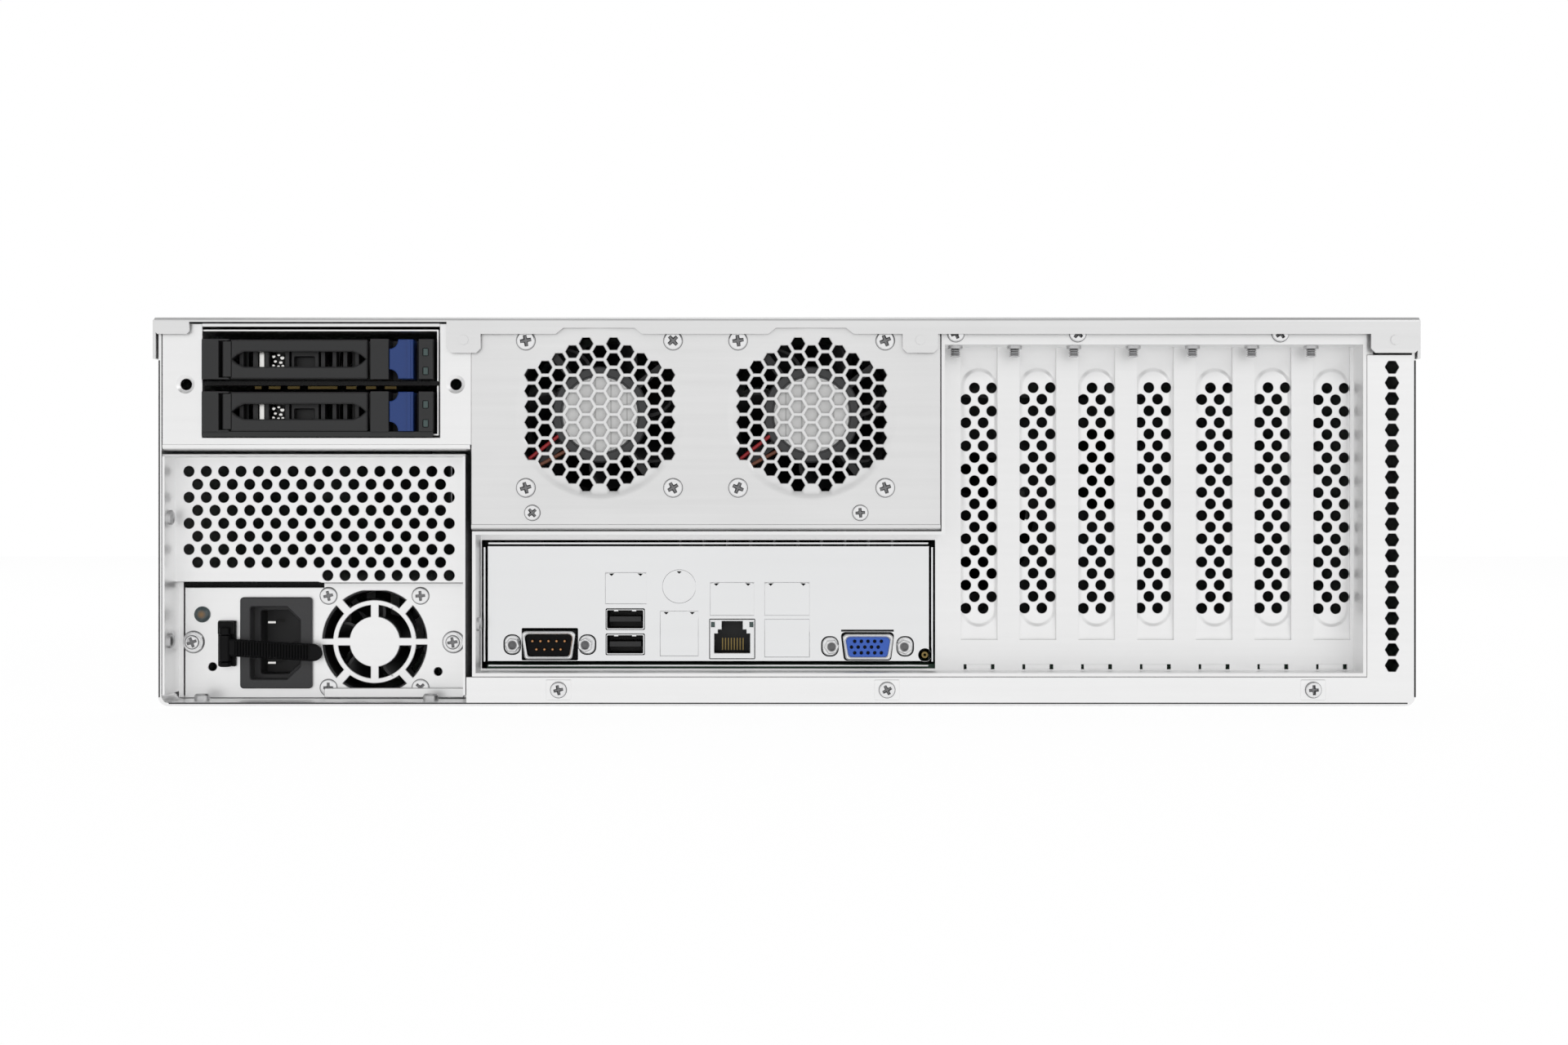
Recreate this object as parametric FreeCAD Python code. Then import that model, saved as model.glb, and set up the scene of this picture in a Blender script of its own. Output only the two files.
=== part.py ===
import FreeCAD, Part
import math
import os

# Rackmount server case, three rack units high, in millimetres.
# X runs across the case, to the right seen from behind, Y from the rear to the front, Z up.
# The origin is the middle of the bottom face.

Vector = FreeCAD.Vector

# Case
CASE_WIDTH = 430.0
CASE_HEIGHT = 132.0
CASE_DEPTH = 648.0
REAR = -CASE_DEPTH / 2
FRONT = CASE_DEPTH / 2
STEEL = 1.2
THIN_STEEL = 0.8
COVER_STEEL = 1.0
BEND = 3.3
COVER_GAP = 0.4
WALL_OUT = CASE_WIDTH / 2 - COVER_STEEL - COVER_GAP
WALL_IN = WALL_OUT - STEEL
WALL_TOP = CASE_HEIGHT - COVER_STEEL - COVER_GAP
RIM_TOP = 9.9
FOLD = 2.2
LIP = 9.0

# Strip of cooling holes beside the expansion slots
STRIP_X = 205.75
STRIP_LOW = 13.8
STRIP_PITCH = 5.337
STRIP_COUNT = 20
STRIP_TOP = 119.5

# Hexagonal cooling holes of the fan panel and the side strip
HEX_FLATS = 4.15
HEX_PITCH = 5.35
HEX_COLUMN = 4.645
GRILLE_COLUMNS = (6, 7, 8, 9, 10, 9, 10, 9, 8, 7, 6)

# Rear fan panel and its two 60 mm fans
PANEL_LEFT = -107.2
PANEL_RIGHT = 52.3
PANEL_LOW = 59.6
PANEL_TOP = WALL_TOP - 0.6
FAN_X = (-63.6, 8.5)
FAN_Z = 99.2
FAN_SIZE = 60.0
FAN_DEPTH = 25.0
FAN_HOLES = 50.0
FAN_BORE = 28.6
FAN_HUB = 16.4
DISH_RADIUS = 29.5
DISH_DEPTH = 0.5

# Recess that holds the port shield and the seven expansion slots
RECESS = 13.0
RECESS_RIGHT = 197.2
SLOT_LEDGE = 122.9
SLOT_COUNT = 7
SLOT_PITCH = 20.32
SLOT_WIDTH = 12.7
SLOT_FIRST = 60.2
SLOT_LOW = 21.8
APERTURE_LEFT = -105.4
APERTURE_LOW = 11.9
APERTURE_RIGHT = 51.35
APERTURE_TOP = APERTURE_LOW + 44.45
FOOT_SLOT = (11.6, 13.4)

# Power supply and its bracket
SUPPLY_LEFT = -211.0
SUPPLY_RIGHT = -111.0
SUPPLY_LOW = 1.4
SUPPLY_TOP = 41.4
SUPPLY_FACE = REAR + 18.0
SUPPLY_LENGTH = 240.0
BRACKET_RIGHT = -109.0
BRACKET_TOP = 85.7
SUPPLY_FAN_X = -143.4
SUPPLY_FAN_Z = 20.9
SUPPLY_FAN_HOLES = 32.0
INLET_X = -177.4
INLET_Z = 20.5

# Rear drive bay with two small trays
BAY_LEFT = -198.6
BAY_RIGHT = -117.9
BAY_LOW = 91.3
BAY_TIE = 129.0
BAY_PLATE_LOW = 86.8
BAY_HOLES_X = (-204.3, -112.5)
BAY_HOLES_Z = 109.4
BAY_HOLE = 1.95
TRAY_LEFT = -198.3
TRAY_RIGHT = -120.0
TRAY_HEIGHT = 13.7
TRAY_LOWS = (111.0, 93.2)
TRAY_LENGTH = 128.0
CAGE_LENGTH = 145.0

# Board and middle fans
BOARD_TOP = 13.3
BOARD_THICK = 1.6
BOARD_FRONT = 18.0
FAN_WALL = 62.0
MID_FAN_X = (-90.0, 0.0, 90.0)
MID_FAN_Z = 62.0
MID_FAN_SIZE = 80.0

# Front bays: four columns of two trays, with a vented fascia above
FRONT_COLUMNS = 4
FRONT_ROWS = 2
CELL_WIDTH = 105.6
CELL_HEIGHT = 30.4
FRONT_CAGE_LOW = 1.8
FRONT_CAGE_DEPTH = 190.0
FRONT_TRAY_LENGTH = 172.0
FASCIA_LOW = FRONT_CAGE_LOW + FRONT_ROWS * CELL_HEIGHT + 1.6

# Rack ears and handles
EAR_SPAN = 482.6
EAR_HOLES_X = 465.1
EAR_HOLES_Z = 57.15
EAR_SLOT_RADIUS = 3.4
EAR_SLOT_LENGTH = 10.3
EAR_THICK = 3.0
HANDLE_REACH = 36.0
HANDLE_SPAN = 76.2
HANDLE_BAR = 8.0
HANDLE_X = 220.5
EAR_INSET = 0.6


def box(x0, x1, y0, y1, z0, z1):
    return Part.makeBox(x1 - x0, y1 - y0, z1 - z0, Vector(x0, y0, z0))


def fused(shapes):
    return shapes[0].multiFuse(shapes[1:]).removeSplitter()


def group(shapes):
    return Part.makeCompound(shapes)


def polygon(points, y):
    corners = [Vector(x, y, z) for x, z in points]
    return Part.makePolygon(corners + corners[:1])


def rounded(corners, y):
    """Closed outline in a plane of constant Y; each corner is (x, z, radius)."""
    ends = []
    count = len(corners)
    for i, (x, z, radius) in enumerate(corners):
        here = Vector(x, y, z)
        if radius == 0:
            ends.append((here, None, here))
            continue
        back = (Vector(corners[i - 1][0], y, corners[i - 1][1]) - here).normalize()
        ahead = corners[(i + 1) % count]
        ahead = (Vector(ahead[0], y, ahead[1]) - here).normalize()
        half = back.getAngle(ahead) / 2
        reach = radius / math.tan(half)
        middle = (back + ahead).normalize() * (radius / math.sin(half) - radius)
        ends.append((here + back * reach, here + middle, here + ahead * reach))
    edges = []
    for i, (start, middle, end) in enumerate(ends):
        last = ends[i - 1][2]
        if last.distanceToPoint(start) > 1e-6:
            edges.append(Part.makeLine(last, start))
        if middle is not None:
            edges.append(Part.Arc(start, middle, end).toShape())
    return Part.Wire(edges)


def circle(xc, zc, radius, y):
    return Part.Wire(Part.makeCircle(radius, Vector(xc, y, zc), Vector(0, 1, 0)))


def regular(xc, zc, radius, sides, turn=0.0):
    step = 2 * math.pi / sides
    return [(xc + radius * math.cos(turn + i * step), zc + radius * math.sin(turn + i * step))
            for i in range(sides)]


def hexagon(xc, zc, flats, y):
    """Hexagonal hole with two corners to the sides."""
    return polygon(regular(xc, zc, flats / math.sqrt(3), 6), y)


def rectangle(x0, x1, z0, z1):
    return [(x0, z0), (x1, z0), (x1, z1), (x0, z1)]


def soft_rectangle(x0, x1, z0, z1, radius):
    return [(x, z, radius) for x, z in rectangle(x0, x1, z0, z1)]


def bevelled(corners):
    """Points of an outline whose corners (x, z, size) are cut off straight."""
    points = []
    count = len(corners)
    for i, (x, z, size) in enumerate(corners):
        if size == 0:
            points.append((x, z))
            continue
        for nx, nz, _ in (corners[i - 1], corners[(i + 1) % count]):
            length = math.hypot(nx - x, nz - z)
            points.append((x + (nx - x) * size / length, z + (nz - z) * size / length))
    return points


def arc_points(xc, zc, radius, start, end, steps):
    """Points along an arc, angles in degrees."""
    angles = [math.radians(start + (end - start) * i / steps) for i in range(steps + 1)]
    return [(xc + radius * math.cos(a), zc + radius * math.sin(a)) for a in angles]


def sector(xc, zc, inner, outer, start, end):
    """Ring segment between two angles in degrees."""
    steps = max(2, round((end - start) / 25))
    return arc_points(xc, zc, outer, start, end, steps) + arc_points(xc, zc, inner, end, start, steps)


def oval(xc, z0, z1, radius):
    """Upright slot shape with round ends."""
    return arc_points(xc, z1 - radius, radius, 0, 180, 4) + arc_points(xc, z0 + radius, radius, 180, 360, 4)


def sheet(outer, holes, thick):
    """Flat plate from an outline and its holes, grown towards the front."""
    if holes:
        face = Part.makeFace([outer] + holes, "Part::FaceMakerBullseye")
    else:
        face = Part.Face(outer)
    return face.extrude(Vector(0, thick, 0))


def prism(points, y0, y1):
    return sheet(polygon(points, y0), [], y1 - y0)


def drum(xc, zc, radius, y0, y1):
    return Part.makeCylinder(radius, y1 - y0, Vector(xc, y0, zc), Vector(0, 1, 0))


def post(xc, yc, radius, z0, z1):
    return Part.makeCylinder(radius, z1 - z0, Vector(xc, yc, z0))


def folded(corners, x0, x1):
    """Bent sheet: section corners (y, z, radius) drawn along X."""
    section = rounded(corners, 0)
    section.rotate(Vector(0, 0, 0), Vector(0, 0, 1), 90)
    section.translate(Vector(x0, 0, 0))
    return Part.Face(section).extrude(Vector(x1 - x0, 0, 0))


def turned_in(x0, x1, low, seam):
    """Lower edge of a rear panel up to its seam, folded inwards to a lip."""
    inside = REAR + STEEL
    return folded([
        (REAR, seam, 0), (REAR, low, FOLD), (REAR + LIP, low, 0), (REAR + LIP, low + STEEL, 0),
        (inside, low + STEEL, FOLD - STEEL), (inside, seam, 0),
    ], x0, x1)


def screw_head(xc, zc, radius, y, height):
    return prism(regular(xc, zc, radius, 6), y - height, y)


# Chassis: floor and side walls folded from one sheet, with the rear rim and vented strip

def chassis_base():
    inner = BEND - STEEL
    channel = rounded([
        (-WALL_OUT, WALL_TOP, 0), (-WALL_OUT, 0, BEND), (WALL_OUT, 0, BEND),
        (WALL_OUT, WALL_TOP, 0), (WALL_IN, WALL_TOP, 0), (WALL_IN, STEEL, inner),
        (-WALL_IN, STEEL, inner), (-WALL_IN, WALL_TOP, 0),
    ], REAR)
    holes = [hexagon(STRIP_X, STRIP_LOW + i * STRIP_PITCH, HEX_FLATS, REAR) for i in range(STRIP_COUNT)]
    corner = BEND - STEEL / 2
    wall = WALL_OUT - STEEL / 2
    rim = rounded([
        (BRACKET_RIGHT, STEEL / 2, 0), (wall, STEEL / 2, corner), (wall, STRIP_TOP, 0),
        (RECESS_RIGHT, STRIP_TOP, 0), (RECESS_RIGHT, RIM_TOP, 0), (BRACKET_RIGHT, RIM_TOP, 0),
    ], REAR)
    return fused([sheet(channel, [], CASE_DEPTH), sheet(rim, holes, STEEL)])


# Top cover: flat sheet with side skirts and a rear flange that hooks over the panels

COVER_FRONT = FRONT - 26.0
FLANGE_GAP = 1.5
HEAD_HEIGHT = 1.2
FLANGE_LOW = 126.3
TAB_LOW = 119.9
RELIEF = 128.4
COVER_TABS = ((-115.2, -103.7), (39.3, 51.3), (198.0, 214.4))
COVER_CORNER = (-214.2, -202.4)
TRAY_RELIEF = 130.4
FAN_RELIEFS = ((-78.3, -49.0), (-6.2, 22.7))
SKIRT_LOW = 118.0
TAB_BUTTON = 1.7
TAB_BUTTON_Z = TAB_LOW + 4.4
COVER_BEND = 1.5


def top_cover():
    half = CASE_WIDTH / 2
    inner = half - COVER_STEEL
    ceiling = CASE_HEIGHT - COVER_STEEL
    roof = polygon(bevelled([
        (-half, SKIRT_LOW, 0), (-half, CASE_HEIGHT, 1.0), (half, CASE_HEIGHT, 1.0), (half, SKIRT_LOW, 0),
        (inner, SKIRT_LOW, 0), (inner, ceiling, 0.5), (-inner, ceiling, 0.5), (-inner, SKIRT_LOW, 0),
    ]), REAR - FLANGE_GAP)
    face = REAR - FLANGE_GAP - COVER_STEEL
    shell = fused([sheet(roof, [], COVER_FRONT - REAR + FLANGE_GAP),
                   prism(bevelled(flange_edge()), face, face + COVER_STEEL)])
    bend = box(-half, half, face, face + COVER_BEND, CASE_HEIGHT - COVER_BEND, CASE_HEIGHT).cut(
        Part.makeCylinder(COVER_BEND, CASE_WIDTH, Vector(-half, face + COVER_BEND, CASE_HEIGHT - COVER_BEND),
                          Vector(1, 0, 0)))
    buttons = [prism(regular((a + b) / 2, TAB_BUTTON_Z, TAB_BUTTON, 8), face - 0.5, face + 0.5)
               for a, b in COVER_TABS]
    return fused([shell.cut(bend)] + buttons)


def flange_edge():
    """Rear flange: cut back over the trays, with three tabs and a relief above each fan."""
    slope = 2.6
    rounding = 1.5
    left, right = COVER_CORNER
    first, second, third = COVER_TABS
    edge = [(left, CASE_HEIGHT, 0), (left, FLANGE_LOW, 1.0), (right, FLANGE_LOW, 1.0),
            (right, TRAY_RELIEF, 0), (first[0], TRAY_RELIEF, 0)]
    edge += [(first[0], TAB_LOW, rounding), (first[1], TAB_LOW, rounding), (first[1], FLANGE_LOW, 0)]
    for start, end in FAN_RELIEFS:
        edge += [(start, FLANGE_LOW, 0), (start + slope, RELIEF, 0),
                 (end - slope, RELIEF, 0), (end, FLANGE_LOW, 0)]
    edge += [(second[0], FLANGE_LOW, 0), (second[0], TAB_LOW, rounding), (second[1], TAB_LOW, rounding),
             (second[1], FLANGE_LOW, 0)]
    edge += [(third[0], FLANGE_LOW, 0), (third[0], TAB_LOW, rounding), (third[1], TAB_LOW, rounding)]
    return edge + [(third[1], CASE_HEIGHT, 0)]


# Fan panel: plate with two dished hexagon grilles, turned inwards along its lower edge

def grille(xc, zc, y):
    holes = []
    middle = (len(GRILLE_COLUMNS) - 1) / 2
    for i, count in enumerate(GRILLE_COLUMNS):
        x = xc + (i - middle) * HEX_COLUMN
        for j in range(count):
            holes.append(hexagon(x, zc + (j - (count - 1) / 2) * HEX_PITCH, HEX_FLATS, y))
    return holes


def fan_panel():
    seam = PANEL_LOW + 5.0
    outer = polygon(rectangle(PANEL_LEFT, PANEL_RIGHT, seam, PANEL_TOP), REAR)
    plate = sheet(outer, [circle(x, FAN_Z, DISH_RADIUS, REAR) for x in FAN_X], STEEL)
    dish_y = REAR + DISH_DEPTH
    dishes = [sheet(circle(x, FAN_Z, DISH_RADIUS + 0.6, dish_y), grille(x, FAN_Z, dish_y), STEEL)
              for x in FAN_X]
    return fused([plate, turned_in(PANEL_LEFT, PANEL_RIGHT, PANEL_LOW, seam)] + dishes)


# Recessed frame for the ports and the expansion slots

def recess_outline(inset):
    left = PANEL_LEFT + 0.3 + inset
    right = RECESS_RIGHT - 0.1 - inset
    low = RIM_TOP + 0.1 + inset
    high = SLOT_LEDGE + STEEL - inset
    step_x = PANEL_RIGHT + 0.3 + inset
    step_z = PANEL_LOW - 0.2 - inset
    return [(left, low), (right, low), (right, high), (step_x, high), (step_x, step_z), (left, step_z)]


def slot_left(i):
    return SLOT_FIRST + i * SLOT_PITCH


def rear_frame():
    """Pan for the ports and the slots, with a bar across above the slots."""
    back = REAR + RECESS
    pan = prism(recess_outline(0), REAR, back + STEEL).cut(prism(recess_outline(STEEL), REAR - 1, back))
    cuts = [box(APERTURE_LEFT, APERTURE_RIGHT, back - 1, back + 2, APERTURE_LOW, APERTURE_TOP)]
    for i in range(SLOT_COUNT):
        left = slot_left(i)
        right = left + SLOT_WIDTH
        cuts.append(box(left, right, back - 1, back + 2, SLOT_LOW, SLOT_LEDGE + 0.2))
        cuts.append(box(left + 1.0, right - 1.0, back - 1, back + 2, *FOOT_SLOT))
    bar = box(PANEL_RIGHT + 0.3, RECESS_RIGHT - 0.1, REAR, REAR + STEEL, SLOT_LEDGE + STEEL, PANEL_TOP)
    return group([pan.cut(group(cuts)), bar])


# Seven vented slot covers, each with a foot that hooks in and a tab screwed to the ledge

COVER_PLATE_WIDTH = 18.4
COVER_PLATE = 0.9
FOOT_LOW = 10.6
FOOT_HALF = 5.0
FOOT_TAPER = (15.5, 20.0)
BOSS = (26.8, 115.2)
BOSS_HALF = 5.65
SLOT_COVER_SHIFTS = (0.0, 0.3, -0.2, 0.4, -0.3, 0.2, -0.4)


def slot_covers():
    covers = []
    back = REAR + RECESS + STEEL + 0.05
    under = SLOT_LEDGE + STEEL + 0.05
    top = under + COVER_PLATE
    neck, shoulder = FOOT_TAPER
    for i, shift in enumerate(SLOT_COVER_SHIFTS):
        middle = slot_left(i) + SLOT_WIDTH / 2
        x0 = middle - COVER_PLATE_WIDTH / 2
        x1 = middle + COVER_PLATE_WIDTH / 2
        foot0 = middle - FOOT_HALF
        foot1 = middle + FOOT_HALF
        plate = prism([(x0, shoulder), (foot0, neck), (foot0, FOOT_LOW), (foot1, FOOT_LOW), (foot1, neck),
                       (x1, shoulder), (x1, top), (x0, top)], back, back + COVER_PLATE)
        tab = box(x0, x1, back - 11.0, back + COVER_PLATE, under, top)
        boss = prism(oval(middle, BOSS[0] + shift, BOSS[1] + shift, BOSS_HALF), back - 0.5, back + 0.4)
        x, y = screw_place(i)
        notch = box(x0 - 1, x + 1.6, y - 1.6, y + 1.6, under - 1, top + 1)
        covers.append(fused([plate, tab, boss]).cut(notch))
    return group(covers)


def screw_place(i):
    """Where a cover's screw goes through the ledge, as (x, y)."""
    return slot_left(i) - 2.4, REAR + 6.5


def upright(xc, yc, radius, sides, z0, z1):
    """Straight prism along Z."""
    corners = [Vector(x, y, z0) for x, y in regular(xc, yc, radius, sides)]
    return Part.Face(Part.makePolygon(corners + corners[:1])).extrude(Vector(0, 0, z1 - z0))


def slot_screws():
    """Screws through the cover tabs into the ledge, points showing below it."""
    screws = []
    top = SLOT_LEDGE + STEEL + 0.1 + COVER_PLATE
    for i in range(SLOT_COUNT):
        x, y = screw_place(i)
        screws.append(fused([upright(x, y, 2.6, 6, top, top + 1.7),
                             upright(x, y, 1.35, 6, SLOT_LEDGE - 3.6, top + 0.3)]))
    return group(screws)


# Port shield: thin pressed plate clipped into the aperture, with the ports behind its windows

SHIELD = 0.5
SHIELD_BACK = REAR + RECESS - 0.6
SHIELD_BORDER = 2.3
SHIELD_RISE = 1.2
WINDOW_PLAY = 0.5
PORT_PLAY = 0.2
SERIAL_SHELL = (18.4, 10.0)
VIDEO_SHELL = (16.6, 8.8)
SHELL_REACH = 5.4
SHELL_FLANGE = (15.4, 6.2)
JACK_HOLE = (47.8, 16.6, 2.3)
KNOCKOUT_RISE = 0.3
SERIAL_X = -82.0
SERIAL_Z = 20.2
VIDEO_X = 27.95
VIDEO_Z = 19.6
JACKSCREWS = 25.0
USB_X = (-62.3, -49.2)
USB_Z = ((25.5, 32.5), (16.9, 23.8))
LAN_X = (-26.5, -11.1)
LAN_Z = (15.4, 28.9)
KNOCKOUTS = ((-62.7, -48.3, 34.2, 45.2), (-43.8, -30.4, 16.2, 31.9), (-26.5, -11.1, 30.2, 41.8),
             (-7.7, 8.0, 30.2, 41.8), (-7.7, 8.0, 15.8, 29.1))
ROUND_KNOCKOUT = (-37.1, 40.3, 5.9)


def d_shape(xc, zc, width, height, inset=0.0):
    """Connector outline: wide side up, sides leaning in by ten degrees."""
    half = height / 2 - inset
    wide = width / 2 - inset
    narrow = wide - 2 * half * math.tan(math.radians(10))
    size = 2.0 - inset / 2
    return bevelled([(xc - wide, zc + half, size), (xc + wide, zc + half, size),
                     (xc + narrow, zc - half, size), (xc - narrow, zc - half, size)])


def io_shield():
    x0 = APERTURE_LEFT + 0.1
    x1 = APERTURE_RIGHT - 0.1
    z0 = APERTURE_LOW + 0.1
    z1 = APERTURE_TOP - 0.1
    y = SHIELD_BACK
    windows = [polygon(d_shape(SERIAL_X, SERIAL_Z, *SERIAL_SHELL, -WINDOW_PLAY), y),
               polygon(d_shape(VIDEO_X, VIDEO_Z, *VIDEO_SHELL, -WINDOW_PLAY), y),
               polygon(regular(*JACK_HOLE, 8), y)]
    for (left, right), (low, high) in [(LAN_X, LAN_Z)] + [(USB_X, z) for z in USB_Z]:
        window = rectangle(left - PORT_PLAY, right + PORT_PLAY, low - PORT_PLAY, high + PORT_PLAY)
        windows.append(polygon(window, y))
    outer = rectangle(x0, x1, z0, z1)
    inner = rectangle(x0 + SHIELD_BORDER, x1 - SHIELD_BORDER, z0 + SHIELD_BORDER, z1 - SHIELD_BORDER)
    crest = y - SHIELD_RISE
    plate = sheet(polygon(outer, y), windows, SHIELD)
    rim = sheet(polygon(outer, crest), [polygon(inner, crest)], SHIELD_RISE)
    pads = [box(a, b, y - KNOCKOUT_RISE, y, low, high) for a, b, low, high in KNOCKOUTS]
    pads.append(prism(regular(*ROUND_KNOCKOUT, 16), y - KNOCKOUT_RISE, y))
    return fused([plate, rim] + pads)


def connector_shell(xc, zc, width, height):
    """Stamped shell with its flange behind the shield."""
    tip = SHIELD_BACK - SHELL_REACH
    flange_y = SHIELD_BACK + SHIELD + 0.1
    inside = d_shape(xc, zc, width, height, 0.6)
    half, rise = SHELL_FLANGE
    shell = sheet(polygon(d_shape(xc, zc, width, height), tip), [polygon(inside, tip)], flange_y + 0.4 - tip)
    flange = sheet(polygon(rectangle(xc - half, xc + half, zc - rise, zc + rise), flange_y),
                   [polygon(inside, flange_y)], 0.8)
    return fused([shell, flange])


def jackscrews():
    nuts = []
    start = SHIELD_BACK - 4.8
    for xc, zc in ((SERIAL_X, SERIAL_Z), (VIDEO_X, VIDEO_Z)):
        for side in (-1, 1):
            x = xc + side * JACKSCREWS / 2
            nut = prism(regular(x, zc, 2.75, 6), start, SHIELD_BACK - 0.05)
            nuts.append(nut.cut(prism(regular(x, zc, 1.3, 6), start - 1, start + 3.3)))
    return group(nuts)


def connector_insert(xc, zc, width, height, front):
    """Moulded block inside the shell, standing on the board."""
    behind = SHIELD_BACK + SHIELD + 1.0
    half, rise = SHELL_FLANGE
    return fused([prism(d_shape(xc, zc, width, height, 0.7), front, behind + 7.0),
                  box(xc - half, xc + half, behind, behind + 10.0, BOARD_TOP + 0.05, zc + rise)])


def serial_insert():
    """Block with a row of five pins above a row of four."""
    pitch = 2.77
    row_gap = 2.84
    solids = [connector_insert(SERIAL_X, SERIAL_Z, *SERIAL_SHELL, SHIELD_BACK)]
    for count, z in ((5, row_gap / 2), (4, -row_gap / 2)):
        for i in range(count):
            x = SERIAL_X + (i - (count - 1) / 2) * pitch
            solids.append(prism(regular(x, SERIAL_Z + z, 0.5, 4), SHIELD_BACK - 4.6, SHIELD_BACK))
    return group(solids)


def video_insert():
    return connector_insert(VIDEO_X, VIDEO_Z, *VIDEO_SHELL, SHIELD_BACK - SHELL_REACH + 0.6)


def usb_shells():
    """Two open cans, one above the other, the lower one standing on the board."""
    left, right = USB_X
    y = SHIELD_BACK - 0.6
    far = y + 14.0
    stand = box(left, right, BOARD_REAR + 0.5, far, BOARD_TOP + 0.05, min(USB_Z)[0] + 0.1)
    cans = []
    for low, high in USB_Z:
        can = box(left, right, y, far, low, high)
        if (low, high) == min(USB_Z):
            can = can.fuse(stand)
        cans.append(can.cut(box(left + 0.4, right - 0.4, y - 1, far - 0.5, low + 0.8, high - 0.8)))
    return group(cans)


def usb_tongues():
    y = SHIELD_BACK + 0.2
    return group([box(USB_X[0] + 1.0, USB_X[1] - 1.0, y, y + 12.6, high - 3.5, high - 1.7)
                  for low, high in USB_Z])


def lan_jack():
    """Network socket with the plug's stepped throat and two lamp recesses."""
    x0, x1 = LAN_X
    z0, z1 = LAN_Z
    y = SHIELD_BACK - 0.8
    far = y + 21.0
    middle = (x0 + x1) / 2
    body = box(x0, x1, y, far, z0, z1).fuse(box(x0, x1, BOARD_REAR + 0.5, far, BOARD_TOP + 0.05, z0 + 0.1))
    sill, step, crown = z0 + 1.8, z0 + 8.4, z0 + 10.2
    wide, narrow = 5.9, 3.2
    throat = [(-wide, sill), (wide, sill), (wide, step), (narrow, step), (narrow, crown), (-narrow, crown),
              (-narrow, step), (-wide, step)]
    cuts = [prism([(middle + x, z) for x, z in throat], y - 1, y + 13.0)]
    for side in (-4.9, 4.9):
        cuts.append(box(middle + side - 1.6, middle + side + 1.6, y - 1, y + 0.6, z1 - 2.4, z1 - 0.8))
    return body.cut(group(cuts))


# Fans: square frame with the motor on struts, and a rotor on a shaft in the motor's bush

SHAFT = 1.5
SLACK = math.cos(math.pi / 8)
BUSH = 1.56
SHAFT_REACH = 3.4
STATOR_THICK = 5.0
STRUT = (1.4, 4.4)
STRUT_WIDTH = 2.6
STRUT_TURN = -38.0
FRAME_CORNER = 3.0
BLADE_PITCH = 38.0
BLADE_THICK = 1.2
BLADE_CAMBER = 0.1


def fan_frame(xc, zc, y, size, depth, bore, hub, motor_side, facets):
    """Frame from y to y + depth; the motor sits at the rear (-1) or the front (1) end."""
    half = size / 2
    outer = polygon(bevelled(soft_rectangle(xc - half, xc + half, zc - half, zc + half, FRAME_CORNER)), y)
    turn = math.pi / facets
    frame = sheet(outer, [polygon(regular(xc, zc, bore / math.cos(turn), facets, turn), y)], depth)
    motor_y = y + 0.4 if motor_side < 0 else y + depth - STATOR_THICK - 0.4
    struts = []
    for i in range(4):
        strut = box(xc, xc + bore + 0.8, motor_y + STRUT[0], motor_y + STRUT[1],
                    zc - STRUT_WIDTH / 2, zc + STRUT_WIDTH / 2)
        strut.rotate(Vector(xc, 0, zc), Vector(0, 1, 0), STRUT_TURN + 90 * i)
        struts.append(strut)
    motor = prism(regular(xc, zc, hub, facets), motor_y, motor_y + STATOR_THICK)
    bush_start = motor_y + 1.0 if motor_side < 0 else motor_y - 1.0
    bush = prism(regular(xc, zc, BUSH / SLACK, 8), bush_start, bush_start + STATOR_THICK)
    return fused([frame, motor] + struts).cut(bush)


def fan_blade(xc, zc, middle, root, tip, chord):
    """Cambered plate drawn along the radius and set at its pitch."""
    steps = 3
    line = []
    for i in range(steps + 1):
        along = i / steps - 0.5
        line.append((middle + BLADE_CAMBER * chord * (1 - 4 * along * along), zc + chord * along))
    edge = [Vector(xc + root, y - BLADE_THICK / 2, z) for y, z in line]
    edge += [Vector(xc + root, y + BLADE_THICK / 2, z) for y, z in reversed(line)]
    blade = Part.Face(Part.makePolygon(edge + edge[:1])).extrude(Vector(tip - root, 0, 0))
    blade.rotate(Vector(xc, middle, zc), Vector(1, 0, 0), BLADE_PITCH)
    return blade


def fan_rotor(xc, zc, y, depth, hub, tip, blades, motor_side):
    """Hub and pitched blades; its shaft turns in the motor's bush."""
    gap = 0.6
    motor_room = 0.4 + STATOR_THICK + gap
    if motor_side < 0:
        start = y + motor_room
        end = y + depth - 1.0
        shaft_start = start - gap - SHAFT_REACH
    else:
        start = y + 1.0
        end = y + depth - motor_room
        shaft_start = end - 1.0
    shaft = drum(xc, zc, SHAFT, shaft_start, shaft_start + gap + SHAFT_REACH + 1.0)
    middle = (start + end) / 2
    chord = (end - start) * 0.85 / math.sin(math.radians(BLADE_PITCH))
    solids = [prism(regular(xc, zc, hub, 2 * blades), start, end), shaft]
    for i in range(blades):
        blade = fan_blade(xc, zc, middle, hub * 0.8, tip, chord)
        blade.rotate(Vector(xc, middle, zc), Vector(0, 1, 0), 360.0 * i / blades)
        solids.append(blade)
    return fused(solids)


EXHAUST_Y = REAR + DISH_DEPTH + STEEL + 0.1
EXHAUST_TIP = 25.5
LEAD_RADIUS = 0.65
LEAD_Y = EXHAUST_Y + 1.1
LEAD_ENDS = (((-13.8, -6.9), (-25.4, -16.0)), ((-9.6, -11.25), (-23.2, -18.6)))


def exhaust_fan_frames():
    return group([fan_frame(x, FAN_Z, EXHAUST_Y, FAN_SIZE, FAN_DEPTH, FAN_BORE, FAN_HUB, -1, 16)
                  for x in FAN_X])


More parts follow.
